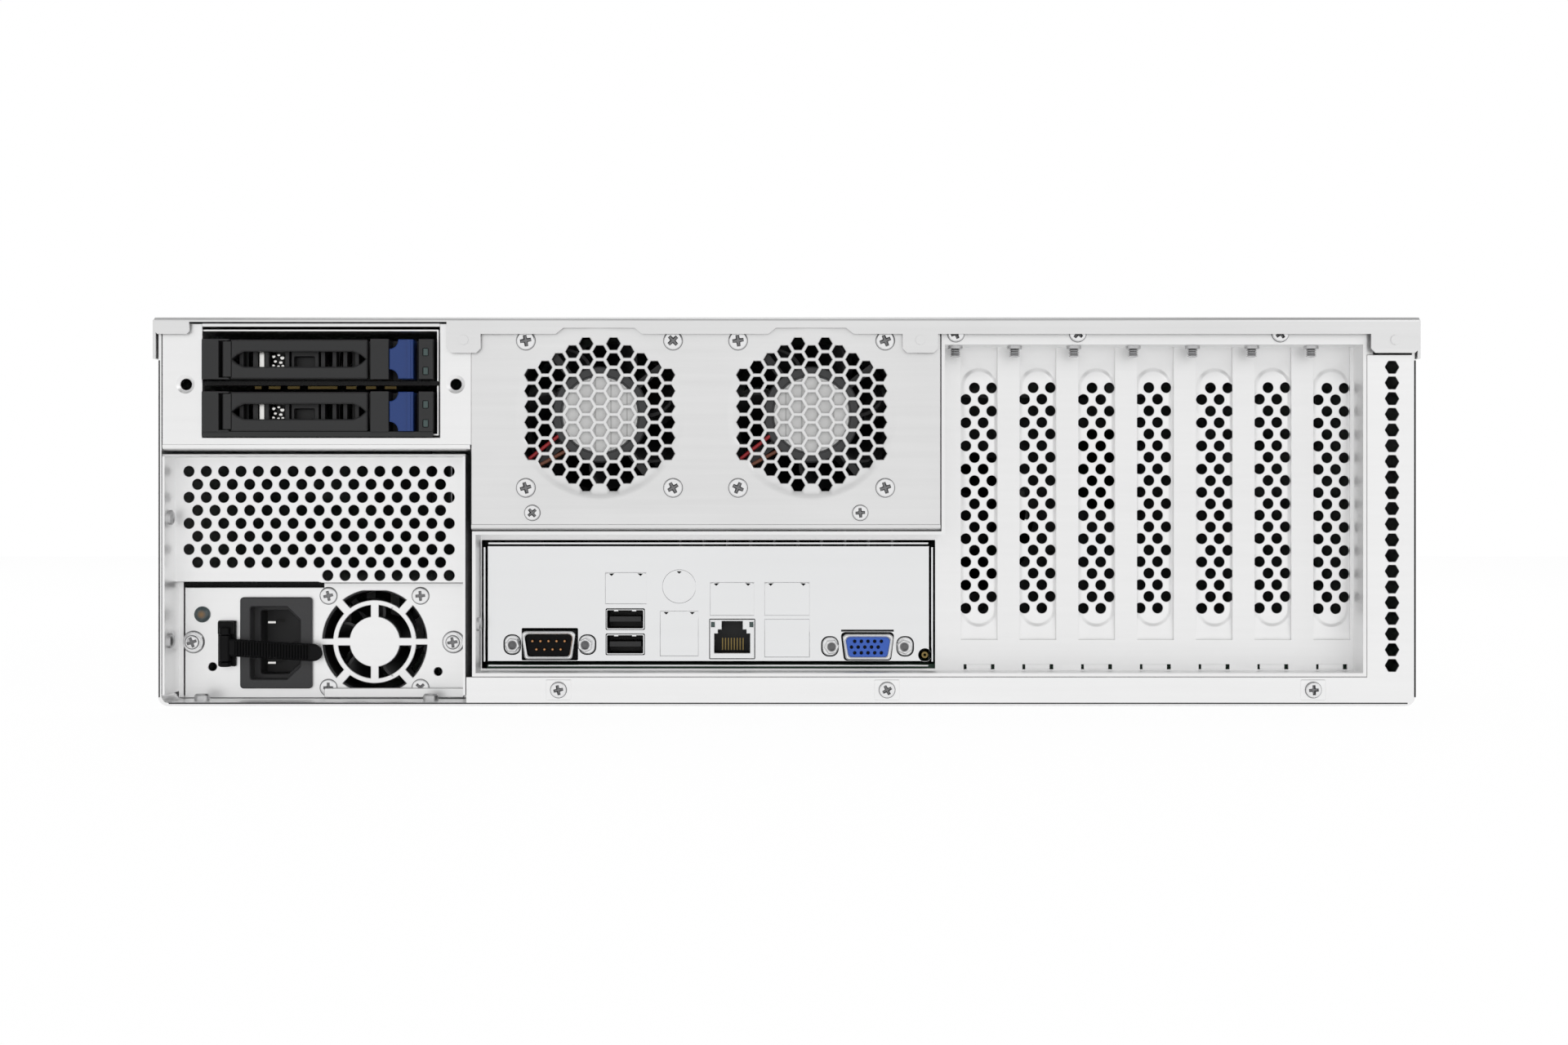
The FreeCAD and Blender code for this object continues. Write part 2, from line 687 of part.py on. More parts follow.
def exhaust_rotor(x):
    return fan_rotor(x, FAN_Z, EXHAUST_Y, FAN_DEPTH, FAN_HUB - 0.6, EXHAUST_TIP, 7, -1)


def fan_leads():
    """Two leads on each fan, from the motor's side over a strut to the frame's bore."""
    frames = exhaust_fan_frames()
    leads = []
    for x in FAN_X:
        for (x0, z0), (x1, z1) in LEAD_ENDS:
            lead = upright(0, 0, LEAD_RADIUS, 6, 0, math.hypot(x1 - x0, z1 - z0))
            lead.rotate(Vector(0, 0, 0), Vector(0, 1, 0), math.degrees(math.atan2(x1 - x0, z1 - z0)))
            lead.translate(Vector(x + x0, LEAD_Y, FAN_Z + z0))
            leads.append(lead.cut(frames))
    return group(leads)


# Power supply: vented bracket, housing with a punched fan guard, cord inlet and cord strap

def supply_bracket():
    """Vent plate with a hood folded to the rear, between two cheeks."""
    left = -WALL_IN + 0.2
    right = BRACKET_RIGHT - 0.2
    front = REAR + RECESS
    back = front + THIN_STEEL
    low = SUPPLY_TOP + 0.5
    under = BRACKET_TOP - THIN_STEEL
    hood = folded([
        (REAR, under, 0), (front, under, FOLD - THIN_STEEL), (front, low, 0), (back, low, 0),
        (back, BRACKET_TOP, FOLD), (REAR, BRACKET_TOP, 0),
    ], left, right)
    cheeks = [box(x, x + THIN_STEEL, REAR, front + 4.0, BEND + 0.4, under)
              for x in (left, right - THIN_STEEL)]
    return fused([hood] + cheeks)


GUARD_INNER = (8.8, 12.8)
GUARD_OUTER = (14.5, 18.2)
GUARD_RIBS = (0, 48, 132, 180, 228, 312, 360)


def guard_openings(y):
    """Four openings round the hub, and six outer ones between the ribs."""
    spoke = 7.0
    rib = 4.0
    holes = [polygon(sector(SUPPLY_FAN_X, SUPPLY_FAN_Z, *GUARD_INNER, a + spoke, a + 90 - spoke), y)
             for a in (0, 90, 180, 270)]
    for a, b in zip(GUARD_RIBS, GUARD_RIBS[1:]):
        holes.append(polygon(sector(SUPPLY_FAN_X, SUPPLY_FAN_Z, *GUARD_OUTER, a + rib, b - rib), y))
    return holes


INLET_FLANGE = (25.0, 31.7)
INLET_BODY = (21.6, 28.2)
INLET_CAVITY = (17.0, 25.2)
INLET_CHAMFER = 4.6
INLET_DEPTH = 21.0
CAVITY_DEPTH = 15.0
SUPPLY_HOLES = ((-199.8, 12.2), (-121.3, 10.5))
SUPPLY_FAN_SIZE = 37.2
SUPPLY_FAN_DEPTH = 20.0
SUPPLY_FAN_BORE = 17.6
SUPPLY_FAN_HUB = 9.0
SUPPLY_FAN_TIP = 15.0


def supply_housing():
    wall = THIN_STEEL
    y = SUPPLY_FACE
    far = y + SUPPLY_LENGTH
    inlet_w, inlet_h = INLET_BODY
    holes = guard_openings(y)
    holes.append(polygon(rectangle(*centred(inlet_w + 0.2, inlet_h + 0.2)), y))
    holes += [polygon(regular(x, z, 1.4, 8), y) for x, z in SUPPLY_HOLES]
    face = sheet(polygon(rectangle(SUPPLY_LEFT, SUPPLY_RIGHT, SUPPLY_LOW, SUPPLY_TOP), y), holes, wall)
    outside = box(SUPPLY_LEFT, SUPPLY_RIGHT, y, far, SUPPLY_LOW, SUPPLY_TOP)
    inside = box(SUPPLY_LEFT + wall, SUPPLY_RIGHT - wall, y - 1, far - wall,
                 SUPPLY_LOW + wall, SUPPLY_TOP - wall)
    slots = []
    for i in range(7):
        x = SUPPLY_LEFT + 12 + i * 11
        slots.append(box(x, x + 7, far - 3, far + 1, 10, 33))
    return fused([face, outside.cut(inside)]).cut(group(slots))


def supply_fan_frame():
    return fan_frame(SUPPLY_FAN_X, SUPPLY_FAN_Z, SUPPLY_FACE + 1.0, SUPPLY_FAN_SIZE, SUPPLY_FAN_DEPTH,
                     SUPPLY_FAN_BORE, SUPPLY_FAN_HUB, 1, 12)


def supply_fan_rotor():
    return fan_rotor(SUPPLY_FAN_X, SUPPLY_FAN_Z, SUPPLY_FACE + 1.0, SUPPLY_FAN_DEPTH, SUPPLY_FAN_HUB,
                     SUPPLY_FAN_TIP, 5, 1)


def centred(width, height):
    """Rectangle about the inlet's middle, as x0, x1, z0, z1."""
    return INLET_X - width / 2, INLET_X + width / 2, INLET_Z - height / 2, INLET_Z + height / 2


def inlet_socket():
    """Flange, body and a cavity with two bevelled corners for the plug."""
    y = SUPPLY_FACE
    flange = prism(bevelled(soft_rectangle(*centred(*INLET_FLANGE), 1.2)), y - 1.6, y)
    body = prism(rectangle(*centred(*INLET_BODY)), y - 1, y + INLET_DEPTH)
    left, right, low, high = centred(*INLET_CAVITY)
    bevel = right - INLET_CHAMFER
    cavity = prism([(left, low), (bevel, low), (right, low + INLET_CHAMFER), (right, high - INLET_CHAMFER),
                    (bevel, high), (left, high)], y - 3, y + CAVITY_DEPTH)
    return fused([flange, body]).cut(cavity)


def inlet_pins():
    """Flat line and neutral blades in a column, the earth blade towards the bevelled side."""
    places = ((-1.9, 7.0), (-1.9, -7.0), (2.1, 0.0))
    return group([box(INLET_X + x - 2.0, INLET_X + x + 2.0, SUPPLY_FACE + 0.5, SUPPLY_FACE + CAVITY_DEPTH,
                      INLET_Z + z - 1.0, INLET_Z + z + 1.0) for x, z in places])


PIN_PLAY = 0.06
STRAP_PIN = 0.75
STRAP_PIN_X = -194.6
STRAP_PIN_Y = SUPPLY_FACE - 3.6
STRAP_Z = (14.2, 23.2)
STRAP_END = -161.8
STRAP_EYE = 1.9
TEETH_START = -189.0
TEETH_PITCH = 2.2
TEETH_COUNT = 10
CLIP = (-197.6, -191.4, 12.4, 28.3)
CLIP_THICK = 1.4
KNUCKLE = 2.0
KNUCKLE_TOP = 26.0


def cord_clip():
    """Clip base with two knuckles that carry the strap's pin."""
    back = SUPPLY_FACE
    x0, x1, z0, z1 = CLIP
    solids = [box(x0, x1, back - CLIP_THICK, back, z0, z1)]
    for low, high in ((z0, STRAP_Z[0] - 0.2), (STRAP_Z[1] + 0.2, KNUCKLE_TOP)):
        solids.append(upright(STRAP_PIN_X, STRAP_PIN_Y, KNUCKLE, 10, low, high))
        solids.append(box(STRAP_PIN_X - KNUCKLE, STRAP_PIN_X + KNUCKLE, STRAP_PIN_Y, back - 1, low, high))
    solids.append(post(STRAP_PIN_X, STRAP_PIN_Y, STRAP_PIN, z0 + 0.4, KNUCKLE_TOP - 0.4))
    return fused(solids)


def cord_strap():
    """Toothed strap that folds over the plug; its eye turns on the clip's pin."""
    low, high = STRAP_Z
    y = STRAP_PIN_Y
    outline = [(STRAP_PIN_X, low, 0), (STRAP_END, low, 3.0), (STRAP_END, high, 3.0), (STRAP_PIN_X, high, 0)]
    solids = [prism(bevelled(outline), y - 0.7, y + 0.7), upright(STRAP_PIN_X, y, STRAP_EYE, 10, low, high)]
    for i in range(TEETH_COUNT):
        x = TEETH_START + i * TEETH_PITCH
        solids.append(box(x, x + 1.0, y - 1.4, y, low + 1.2, high - 1.2))
    bore = upright(STRAP_PIN_X, y, (STRAP_PIN + PIN_PLAY) / SLACK, 8, low - 1, high + 1)
    return fused(solids).cut(bore)


LAMP = (-203.3, 30.4, 2.8)
SUPPLY_SCREWS_X = (-206.4, -115.9)
SUPPLY_SCREWS_Z = 20.8


def supply_lamp():
    return prism(regular(*LAMP, 12), SUPPLY_FACE - 1.0, SUPPLY_FACE)


def supply_screws():
    heads = [screw_head(x, SUPPLY_SCREWS_Z, 3.5, SUPPLY_FACE, 2.4) for x in SUPPLY_SCREWS_X]
    half = SUPPLY_FAN_HOLES / 2
    for x in (SUPPLY_FAN_X - half, SUPPLY_FAN_X + half):
        for z in (SUPPLY_FAN_Z - half, SUPPLY_FAN_Z + half):
            heads.append(screw_head(x, z, 2.9, SUPPLY_FACE, 1.0))
    return group(heads)


# Rear drive bay: plate, cage and two trays with a folding lever and a sprung latch

def drive_bay_plate():
    """Plate round the bay's window, and a tie strip across the window's top."""
    left = -WALL_IN + 0.2
    right = PANEL_LEFT - 0.4
    seam = BAY_PLATE_LOW + 4.0
    top = PANEL_TOP
    outer = polygon([(left, seam), (right, seam), (right, top), (BAY_RIGHT, top), (BAY_RIGHT, BAY_LOW),
                     (BAY_LEFT, BAY_LOW), (BAY_LEFT, top), (left, top)], REAR)
    holes = [polygon(regular(x, BAY_HOLES_Z, BAY_HOLE, 10), REAR) for x in BAY_HOLES_X]
    plate = fused([sheet(outer, holes, STEEL), turned_in(left, right, BAY_PLATE_LOW, seam)])
    tie = box(BAY_LEFT, BAY_RIGHT, REAR, REAR + STEEL, BAY_TIE, PANEL_TOP)
    return group([plate, tie])


def rear_drive_cage():
    """Sheet sleeve with a shelf between the two trays, on two feet."""
    x0 = TRAY_LEFT - 0.9 - THIN_STEEL
    x1 = TRAY_RIGHT + 0.9 + THIN_STEEL
    z0 = TRAY_LOWS[1] - 0.5 - THIN_STEEL
    z1 = TRAY_LOWS[0] + TRAY_HEIGHT + 3.5
    y0 = REAR + STEEL + 0.1
    y1 = y0 + CAGE_LENGTH
    inside = rectangle(x0 + THIN_STEEL, x1 - THIN_STEEL, z0 + THIN_STEEL, z1 - THIN_STEEL)
    shell = sheet(polygon(rectangle(x0, x1, z0, z1), y0), [polygon(inside, y0)], CAGE_LENGTH)
    shelf_top = TRAY_LOWS[0] - 0.5
    shelf = box(x0, x1, y0 + 12.0, y1, shelf_top - THIN_STEEL, shelf_top)
    feet = [box(x, x + 8.0, y0 + 10, y1 - 10, BAY_PLATE_LOW + STEEL + 0.2, z0) for x in (x0 + 2, x1 - 10)]
    return fused([shell, shelf] + feet)


LEVER_PIN = 0.65
LEVER_PIN_X = -190.3
LEVER_Y = (REAR - 1.5, REAR + 1.3)
LEVER_PIN_Y = sum(LEVER_Y) / 2
LEVER_END = -142.2
LATCH_X = (-134.7, -126.7)
TRAY_BACK = REAR + 7.0
HINGE_BLOCK = (TRAY_LEFT, -192.7)
MIDDLE_BLOCK = (-141.2, -135.0)
LIGHT_BLOCK = (-124.9, TRAY_RIGHT)
LIGHTS_X = (-123.4, -121.6)
LIGHTS_Z = ((1.6, 4.1), (8.0, 10.5))
RAIL = 2.4
RAIL_HEIGHT = 9.0
EAR = 0.6
EAR_RADIUS = 1.3
TRAY_SLOTS = 5
WINDOW_HALF = 2.55
WINDOW_POINT = 4.2
LATCH_HOLLOW = 3.0


def rear_tray(low):
    """Bezel blocks, hinge ears with the lever's pin, slotted back wall and two side rails."""
    high = low + TRAY_HEIGHT
    far = REAR + TRAY_LENGTH
    front, behind = LEVER_Y
    solids = [box(x0, x1, front, TRAY_BACK + 1, low, high)
              for x0, x1 in (HINGE_BLOCK, MIDDLE_BLOCK, LIGHT_BLOCK)]
    slots = [box(-190 + i * 10, -183.5 + i * 10, TRAY_BACK - 1, TRAY_BACK + 3, low + 4.2, low + 9.5)
             for i in range(TRAY_SLOTS)]
    solids.append(box(TRAY_LEFT, TRAY_RIGHT, TRAY_BACK, TRAY_BACK + 2, low, high).cut(group(slots)))
    solids += [box(x, x + RAIL, TRAY_BACK, far, low, low + RAIL_HEIGHT)
               for x in (TRAY_LEFT, TRAY_RIGHT - RAIL)]
    solids.append(box(TRAY_LEFT, TRAY_RIGHT, far - 6, far, low, low + 2.0))
    for z0, z1 in ((low, low + EAR), (high - EAR, high)):
        solids.append(box(HINGE_BLOCK[1] - 0.5, LEVER_PIN_X, front + 0.1, behind - 0.1, z0, z1))
        solids.append(upright(LEVER_PIN_X, LEVER_PIN_Y, EAR_RADIUS, 8, z0, z1))
    solids.append(post(LEVER_PIN_X, LEVER_PIN_Y, LEVER_PIN, low + 0.3, high - 0.3))
    lights = [box(*LIGHTS_X, front - 1, front + 0.6, low + z0, low + z1) for z0, z1 in LIGHTS_Z]
    return fused(solids).cut(group(lights))


def tray_lever(low):
    """Flat pull with a long pointed window; its knuckle turns on the tray's pin."""
    z0 = low + 0.2
    z1 = low + TRAY_HEIGHT - 0.2
    middle = (z0 + z1) / 2
    y0, y1 = LEVER_Y
    start = LEVER_PIN_X + 2.0
    left = start + 0.7
    right = LEVER_END - 1.4
    under = middle - WINDOW_HALF
    over = middle + WINDOW_HALF
    window = [(left, middle), (left + WINDOW_POINT, under), (right - WINDOW_POINT, under), (right, middle),
              (right - WINDOW_POINT, over), (left + WINDOW_POINT, over)]
    outline = bevelled([(start, z0, 0), (LEVER_END, z0, 0.8), (LEVER_END, z1, 0.8), (start, z1, 0)])
    blade = sheet(polygon(outline, y0), [polygon(window, y0)], y1 - y0)
    k0 = low + EAR + 0.3
    k1 = low + TRAY_HEIGHT - EAR - 0.3
    arm = box(LEVER_PIN_X, start + 0.2, y0, y1, k0, k1)
    knuckle = upright(LEVER_PIN_X, LEVER_PIN_Y, (y1 - y0) / 2, 10, k0, k1)
    bore = upright(LEVER_PIN_X, LEVER_PIN_Y, (LEVER_PIN + PIN_PLAY) / SLACK, 8, k0 - 1, k1 + 1)
    return fused([blade, arm, knuckle]).cut(bore)


def tray_latch(low):
    """Push button with hollow corners on the lever's side."""
    left, right = LATCH_X
    z0 = low + 0.2
    z1 = low + TRAY_HEIGHT - 0.2
    outline = [(right, z0), (right, z1)]
    outline += arc_points(left, z1, LATCH_HOLLOW, 0, -90, 4)
    outline += arc_points(left, z0, LATCH_HOLLOW, 90, 0, 4)
    return prism(outline, LEVER_Y[0] - 0.7, TRAY_BACK - 0.4)


# Inside: system board on studs, cooler, memory, wall of three fans, backplanes

BOARD_LEFT = -104.0
BOARD_RIGHT = 197.0
BOARD_REAR = REAR + RECESS + 3.0
STUD_PLACES = [(x, y) for x in (-95.0, 46.0, 190.0) for y in (BOARD_REAR + 8, BOARD_FRONT - 60)]
CARD_SOCKET = (3.0, 10.0)
CARD_SOCKET_Y = (BOARD_REAR + 40, BOARD_REAR + 130)
CARD_SOCKET_HEIGHT = 11.0
MEMORY_X = [-89.0 + i * 9.5 for i in range(4)]
MEMORY_Y = (-150.0, -14.0)
MEMORY_SOCKET_HEIGHT = 6.0
MEMORY_TOP = BOARD_TOP + 36.0
COOLER_HALF = 45.0
COOLER_Y = (-150.0, -40.0)
COOLER_BASE = 8.0
COOLER_TOP = 74.0
FIN_COUNT = 10
FIN = 1.2


def board_studs():
    return [upright(x, y, 3.0, 4, STEEL - 0.2, BOARD_TOP - BOARD_THICK) for x, y in STUD_PLACES]


def motherboard():
    solids = [box(BOARD_LEFT, BOARD_RIGHT, BOARD_REAR, BOARD_FRONT, BOARD_TOP - BOARD_THICK, BOARD_TOP)]
    for i in range(SLOT_COUNT):
        x = slot_left(i)
        solids.append(box(x + CARD_SOCKET[0], x + CARD_SOCKET[1], *CARD_SOCKET_Y,
                          BOARD_TOP, BOARD_TOP + CARD_SOCKET_HEIGHT))
    solids += [box(x - 3.0, x + 3.0, *MEMORY_Y, BOARD_TOP, BOARD_TOP + MEMORY_SOCKET_HEIGHT)
               for x in MEMORY_X]
    return fused(solids)


def cpu_cooler():
    """Base plate with a row of upright fins."""
    solids = [box(-COOLER_HALF, COOLER_HALF, *COOLER_Y, BOARD_TOP + 0.1, BOARD_TOP + COOLER_BASE)]
    pitch = (2 * COOLER_HALF - FIN) / (FIN_COUNT - 1)
    for i in range(FIN_COUNT):
        x = -COOLER_HALF + i * pitch
        solids.append(box(x, x + FIN, *COOLER_Y, BOARD_TOP + COOLER_BASE, COOLER_TOP))
    return fused(solids)


def memory_modules():
    start, end = MEMORY_Y
    low = BOARD_TOP + MEMORY_SOCKET_HEIGHT + 0.1
    return group([box(x - 0.6, x + 0.6, start + 2, end - 2, low, MEMORY_TOP) for x in MEMORY_X])


MID_FAN_BORE = 38.0
MID_FAN_HUB = 17.0
MID_FAN_TIP = 35.4
MID_FAN_Y = FAN_WALL + STEEL + 0.1
WALL_WINDOW = (147.0, 183.0, 70.0, 110.0)
FAN_WALL_TOP = 127.0


def fan_wall():
    """Partition with three fan openings and a cable window at each side, on a folded foot."""
    low = STEEL + 0.2
    x0, x1, z0, z1 = WALL_WINDOW
    holes = [polygon(regular(x, MID_FAN_Z, MID_FAN_BORE, 12), FAN_WALL) for x in MID_FAN_X]
    holes += [polygon(rectangle(a, b, z0, z1), FAN_WALL) for a, b in ((x0, x1), (-x1, -x0))]
    half = WALL_IN - 0.3
    outer = [(-half + BEND, low), (half - BEND, low), (half, low + BEND), (half, FAN_WALL_TOP),
             (-half, FAN_WALL_TOP), (-half, low + BEND)]
    plate = sheet(polygon(outer, FAN_WALL), holes, STEEL)
    foot = box(-WALL_IN + 4, WALL_IN - 4, FAN_WALL - 14, FAN_WALL + STEEL, low, low + STEEL)
    return fused([plate, foot])


def mid_fan_frames():
    return group([fan_frame(x, MID_FAN_Z, MID_FAN_Y, MID_FAN_SIZE, FAN_DEPTH, MID_FAN_BORE, MID_FAN_HUB,
                            -1, 8) for x in MID_FAN_X])


def mid_rotor(x):
    return fan_rotor(x, MID_FAN_Z, MID_FAN_Y, FAN_DEPTH, MID_FAN_HUB - 0.6, MID_FAN_TIP, 5, -1)


def backplanes():
    """Boards behind the front cage and the rear drive cage."""
    front_y = FRONT - FRONT_CAGE_DEPTH - 4.4
    rear_y = REAR + STEEL + 0.2 + CAGE_LENGTH
    front = box(-208.0, 208.0, front_y, front_y + 2.0, STEEL + 0.2, FASCIA_LOW - 2)
    rear = box(TRAY_LEFT + 1.3, TRAY_RIGHT - 1.0, rear_y, rear_y + BOARD_THICK,
               TRAY_LOWS[1], TRAY_LOWS[0] + TRAY_HEIGHT)
    return group([front, rear])


# Front: cage of eight cells, trays, vented fascia, control panel, rack ears and handles

CAGE_LEFT = -(FRONT_COLUMNS * CELL_WIDTH + THIN_STEEL) / 2
BEZEL = 3.0
BEZEL_SLOT = 3.4
FRONT_RAIL = 2.6
FRONT_RAIL_HEIGHT = 19.0
FRONT_LEVER_HALF = 4.2
FRONT_LEVER_THICK = 4.0
FRONT_KEY = (18.0, 8.0)
FRONT_KEY_HALF = 5.0


def front_cage():
    """Three shelves across the case, with upright sheets riveted between them."""
    y0 = FRONT - FRONT_CAGE_DEPTH
    y1 = FRONT - 3.0
    sheets = []
    for r in range(FRONT_ROWS + 1):
        z = FRONT_CAGE_LOW + r * CELL_HEIGHT
        sheets.append(box(CAGE_LEFT, -CAGE_LEFT, y0, y1, z, z + THIN_STEEL))
        if r == FRONT_ROWS:
            break
        for c in range(FRONT_COLUMNS + 1):
            x = CAGE_LEFT + c * CELL_WIDTH
            sheets.append(box(x, x + THIN_STEEL, y0, y1, z + THIN_STEEL, z + CELL_HEIGHT))
    return group(sheets)


def front_tray(column, row):
    """Open drive tray: slotted bezel, folded lever and release key, two side rails, rear tie."""
    x0 = CAGE_LEFT + column * CELL_WIDTH + THIN_STEEL + 0.6
    x1 = CAGE_LEFT + (column + 1) * CELL_WIDTH - 0.6
    z0 = FRONT_CAGE_LOW + row * CELL_HEIGHT + THIN_STEEL + 0.5
    z1 = FRONT_CAGE_LOW + (row + 1) * CELL_HEIGHT - 0.5
    face = FRONT + 1.0
    far = FRONT - 6.0 - FRONT_TRAY_LENGTH
    middle = (z0 + z1) / 2
    inside = face - BEZEL
    slots = [polygon(rectangle(x0 + 8, x1 - 24, z, z + BEZEL_SLOT), inside)
             for z in (z0 + BEZEL_SLOT, z1 - 2 * BEZEL_SLOT)]
    bezel = sheet(polygon(rectangle(x0, x1, z0, z1), inside), slots, BEZEL)
    rails = [box(x, x + FRONT_RAIL, far, face - 2, z0 + 1, z0 + 1 + FRONT_RAIL_HEIGHT)
             for x in (x0 + 0.3, x1 - 0.3 - FRONT_RAIL)]
    tie = box(x0 + 0.3, x1 - 0.3, far, far + 8, z0 + 1, z0 + 4)
    pull = soft_rectangle(x0 + 4, x1 - 20, middle - FRONT_LEVER_HALF, middle + FRONT_LEVER_HALF, 1.5)
    lever = prism(bevelled(pull), face + 0.1, face + 0.1 + FRONT_LEVER_THICK)
    key = box(x1 - FRONT_KEY[0], x1 - FRONT_KEY[1], face + 0.1, face + 2.7,
              middle - FRONT_KEY_HALF, middle + FRONT_KEY_HALF)
    return group([fused([bezel, tie] + rails), lever, key])


CONTROL_X = 188.0
CONTROL_Z = 97.0
CONTROL_WIDTH = 34.0
CONTROL_HEIGHT = 54.0
POWER_Z = 108.0
RESET_Z = 90.0
POWER_RADIUS = 5.0
RESET_RADIUS = 2.2
KEY_PLAY = 0.35
KEY_FLANGE = 2.0
CONTROL_BORDER = 3.0
FASCIA_SLOT = (108.0, 6.0)
FASCIA_PITCH = (118.0, 13.0)
FASCIA_FIRST = (-200.0, 74.0)
STATUS_WINDOWS = 4
STATUS_Z = (76.0, 78.0)


def control_outline(inset):
    half_w = CONTROL_WIDTH / 2 - inset
    half_h = CONTROL_HEIGHT / 2 - inset
    return CONTROL_X - half_w, CONTROL_X + half_w, CONTROL_Z - half_h, CONTROL_Z + half_h


def front_fascia():
    """Slotted plate above the trays, with a strip that closes the top behind it."""
    y = FRONT - STEEL
    left = -WALL_IN + 0.3
    holes = [polygon(rectangle(*control_outline(CONTROL_BORDER)), y)]
    for column in range(3):
        for row in range(4):
            x = FASCIA_FIRST[0] + column * FASCIA_PITCH[0]
            z = FASCIA_FIRST[1] + row * FASCIA_PITCH[1]
            holes.append(polygon(rectangle(x, x + FASCIA_SLOT[0], z, z + FASCIA_SLOT[1]), y))
    face = sheet(polygon(rectangle(left, -left, FASCIA_LOW, CASE_HEIGHT), y), holes, STEEL)
    roof = box(-WALL_OUT, WALL_OUT, COVER_FRONT + 0.6, FRONT, WALL_TOP + 0.2, CASE_HEIGHT)
    return fused([face, roof])


def control_panel():
    """Moulded panel with two key holes and a row of status windows."""
    y = FRONT + 0.1
    outer = polygon(bevelled(soft_rectangle(*control_outline(0), 2.0)), y)
    holes = [polygon(regular(CONTROL_X, z, radius + KEY_PLAY, 10), y)
             for z, radius in ((POWER_Z, POWER_RADIUS), (RESET_Z, RESET_RADIUS))]
    for i in range(STATUS_WINDOWS):
        x = CONTROL_X - 11 + i * 6
        holes.append(polygon(rectangle(x, x + 3, *STATUS_Z), y))
    return sheet(outer, holes, 3.0)


def panel_key(z, radius):
    """Push key with a flange that stays behind the panel."""
    back = FRONT - 5.0
    return fused([prism(regular(CONTROL_X, z, radius, 10), back, FRONT + 4.4),
                  prism(regular(CONTROL_X, z, radius + KEY_FLANGE, 10), back, FRONT - 2.4)])


def rack_ears():
    """Ear plates with long rack slots, each on a flank along the case wall."""
    ears = []
    y = FRONT - EAR_THICK
    low = EAR_INSET
    high = CASE_HEIGHT - EAR_INSET
    wall = WALL_OUT + 0.1
    reach = EAR_SLOT_LENGTH / 2
    for side in (-1, 1):
        slots = []
        x = side * EAR_HOLES_X / 2
        for z in (CASE_HEIGHT / 2 - EAR_HOLES_Z / 2, CASE_HEIGHT / 2 + EAR_HOLES_Z / 2):
            radius = EAR_SLOT_RADIUS
            slots.append(rounded(soft_rectangle(x - reach, x + reach, z - radius, z + radius, radius), y))
        x0, x1 = sorted((side * wall, side * EAR_SPAN / 2))
        plate = sheet(polygon(rectangle(x0, x1, low, high), y), slots, EAR_THICK)
        x0, x1 = sorted((side * wall, side * (wall + 2.0)))
        ears.append(fused([plate, box(x0, x1, COVER_FRONT + 3, FRONT, low, high)]))
    return group(ears)


def front_handles():
    """Bow handles: an outline in the plane of Y and Z, as thick as the bar."""
    handles = []
    half = HANDLE_SPAN / 2 + HANDLE_BAR / 2
    low = CASE_HEIGHT / 2 - half
    high = CASE_HEIGHT / 2 + half
    inside = HANDLE_REACH - HANDLE_BAR
    for side in (-1, 1):
        handle = prism(bevelled([
            (0, low, 0), (HANDLE_REACH, low, 12.0), (HANDLE_REACH, high, 12.0), (0, high, 0),
            (0, high - HANDLE_BAR, 0), (inside, high - HANDLE_BAR, 4.0), (inside, low + HANDLE_BAR, 4.0),
            (0, low + HANDLE_BAR, 0),
        ]), 0, HANDLE_BAR)
        handle.rotate(Vector(0, 0, 0), Vector(0, 0, 1), 90)
        handle.translate(Vector(side * HANDLE_X + HANDLE_BAR / 2, FRONT + 0.05, 0))
        handles.append(handle)
    return group(handles)


PANEL_SCREWS = ((-86.4, 65.7, 2.6), (25.0, 65.7, 2.6),
                (-77.5, 5.5, 2.65), (34.1, 5.5, 2.65), (178.9, 5.5, 2.65))
FAN_SCREW = 3.15


def panel_screws():
    """Screws in the rear of the case: fans, fan panel and lower rim."""
    half = FAN_HOLES / 2
    heads = [screw_head(x + sx * half, FAN_Z + sz * half, FAN_SCREW, REAR, HEAD_HEIGHT)
             for x in FAN_X for sx in (-1, 1) for sz in (-1, 1)]
    heads += [screw_head(x, z, radius, REAR, HEAD_HEIGHT) for x, z, radius in PANEL_SCREWS]
    return group(heads)


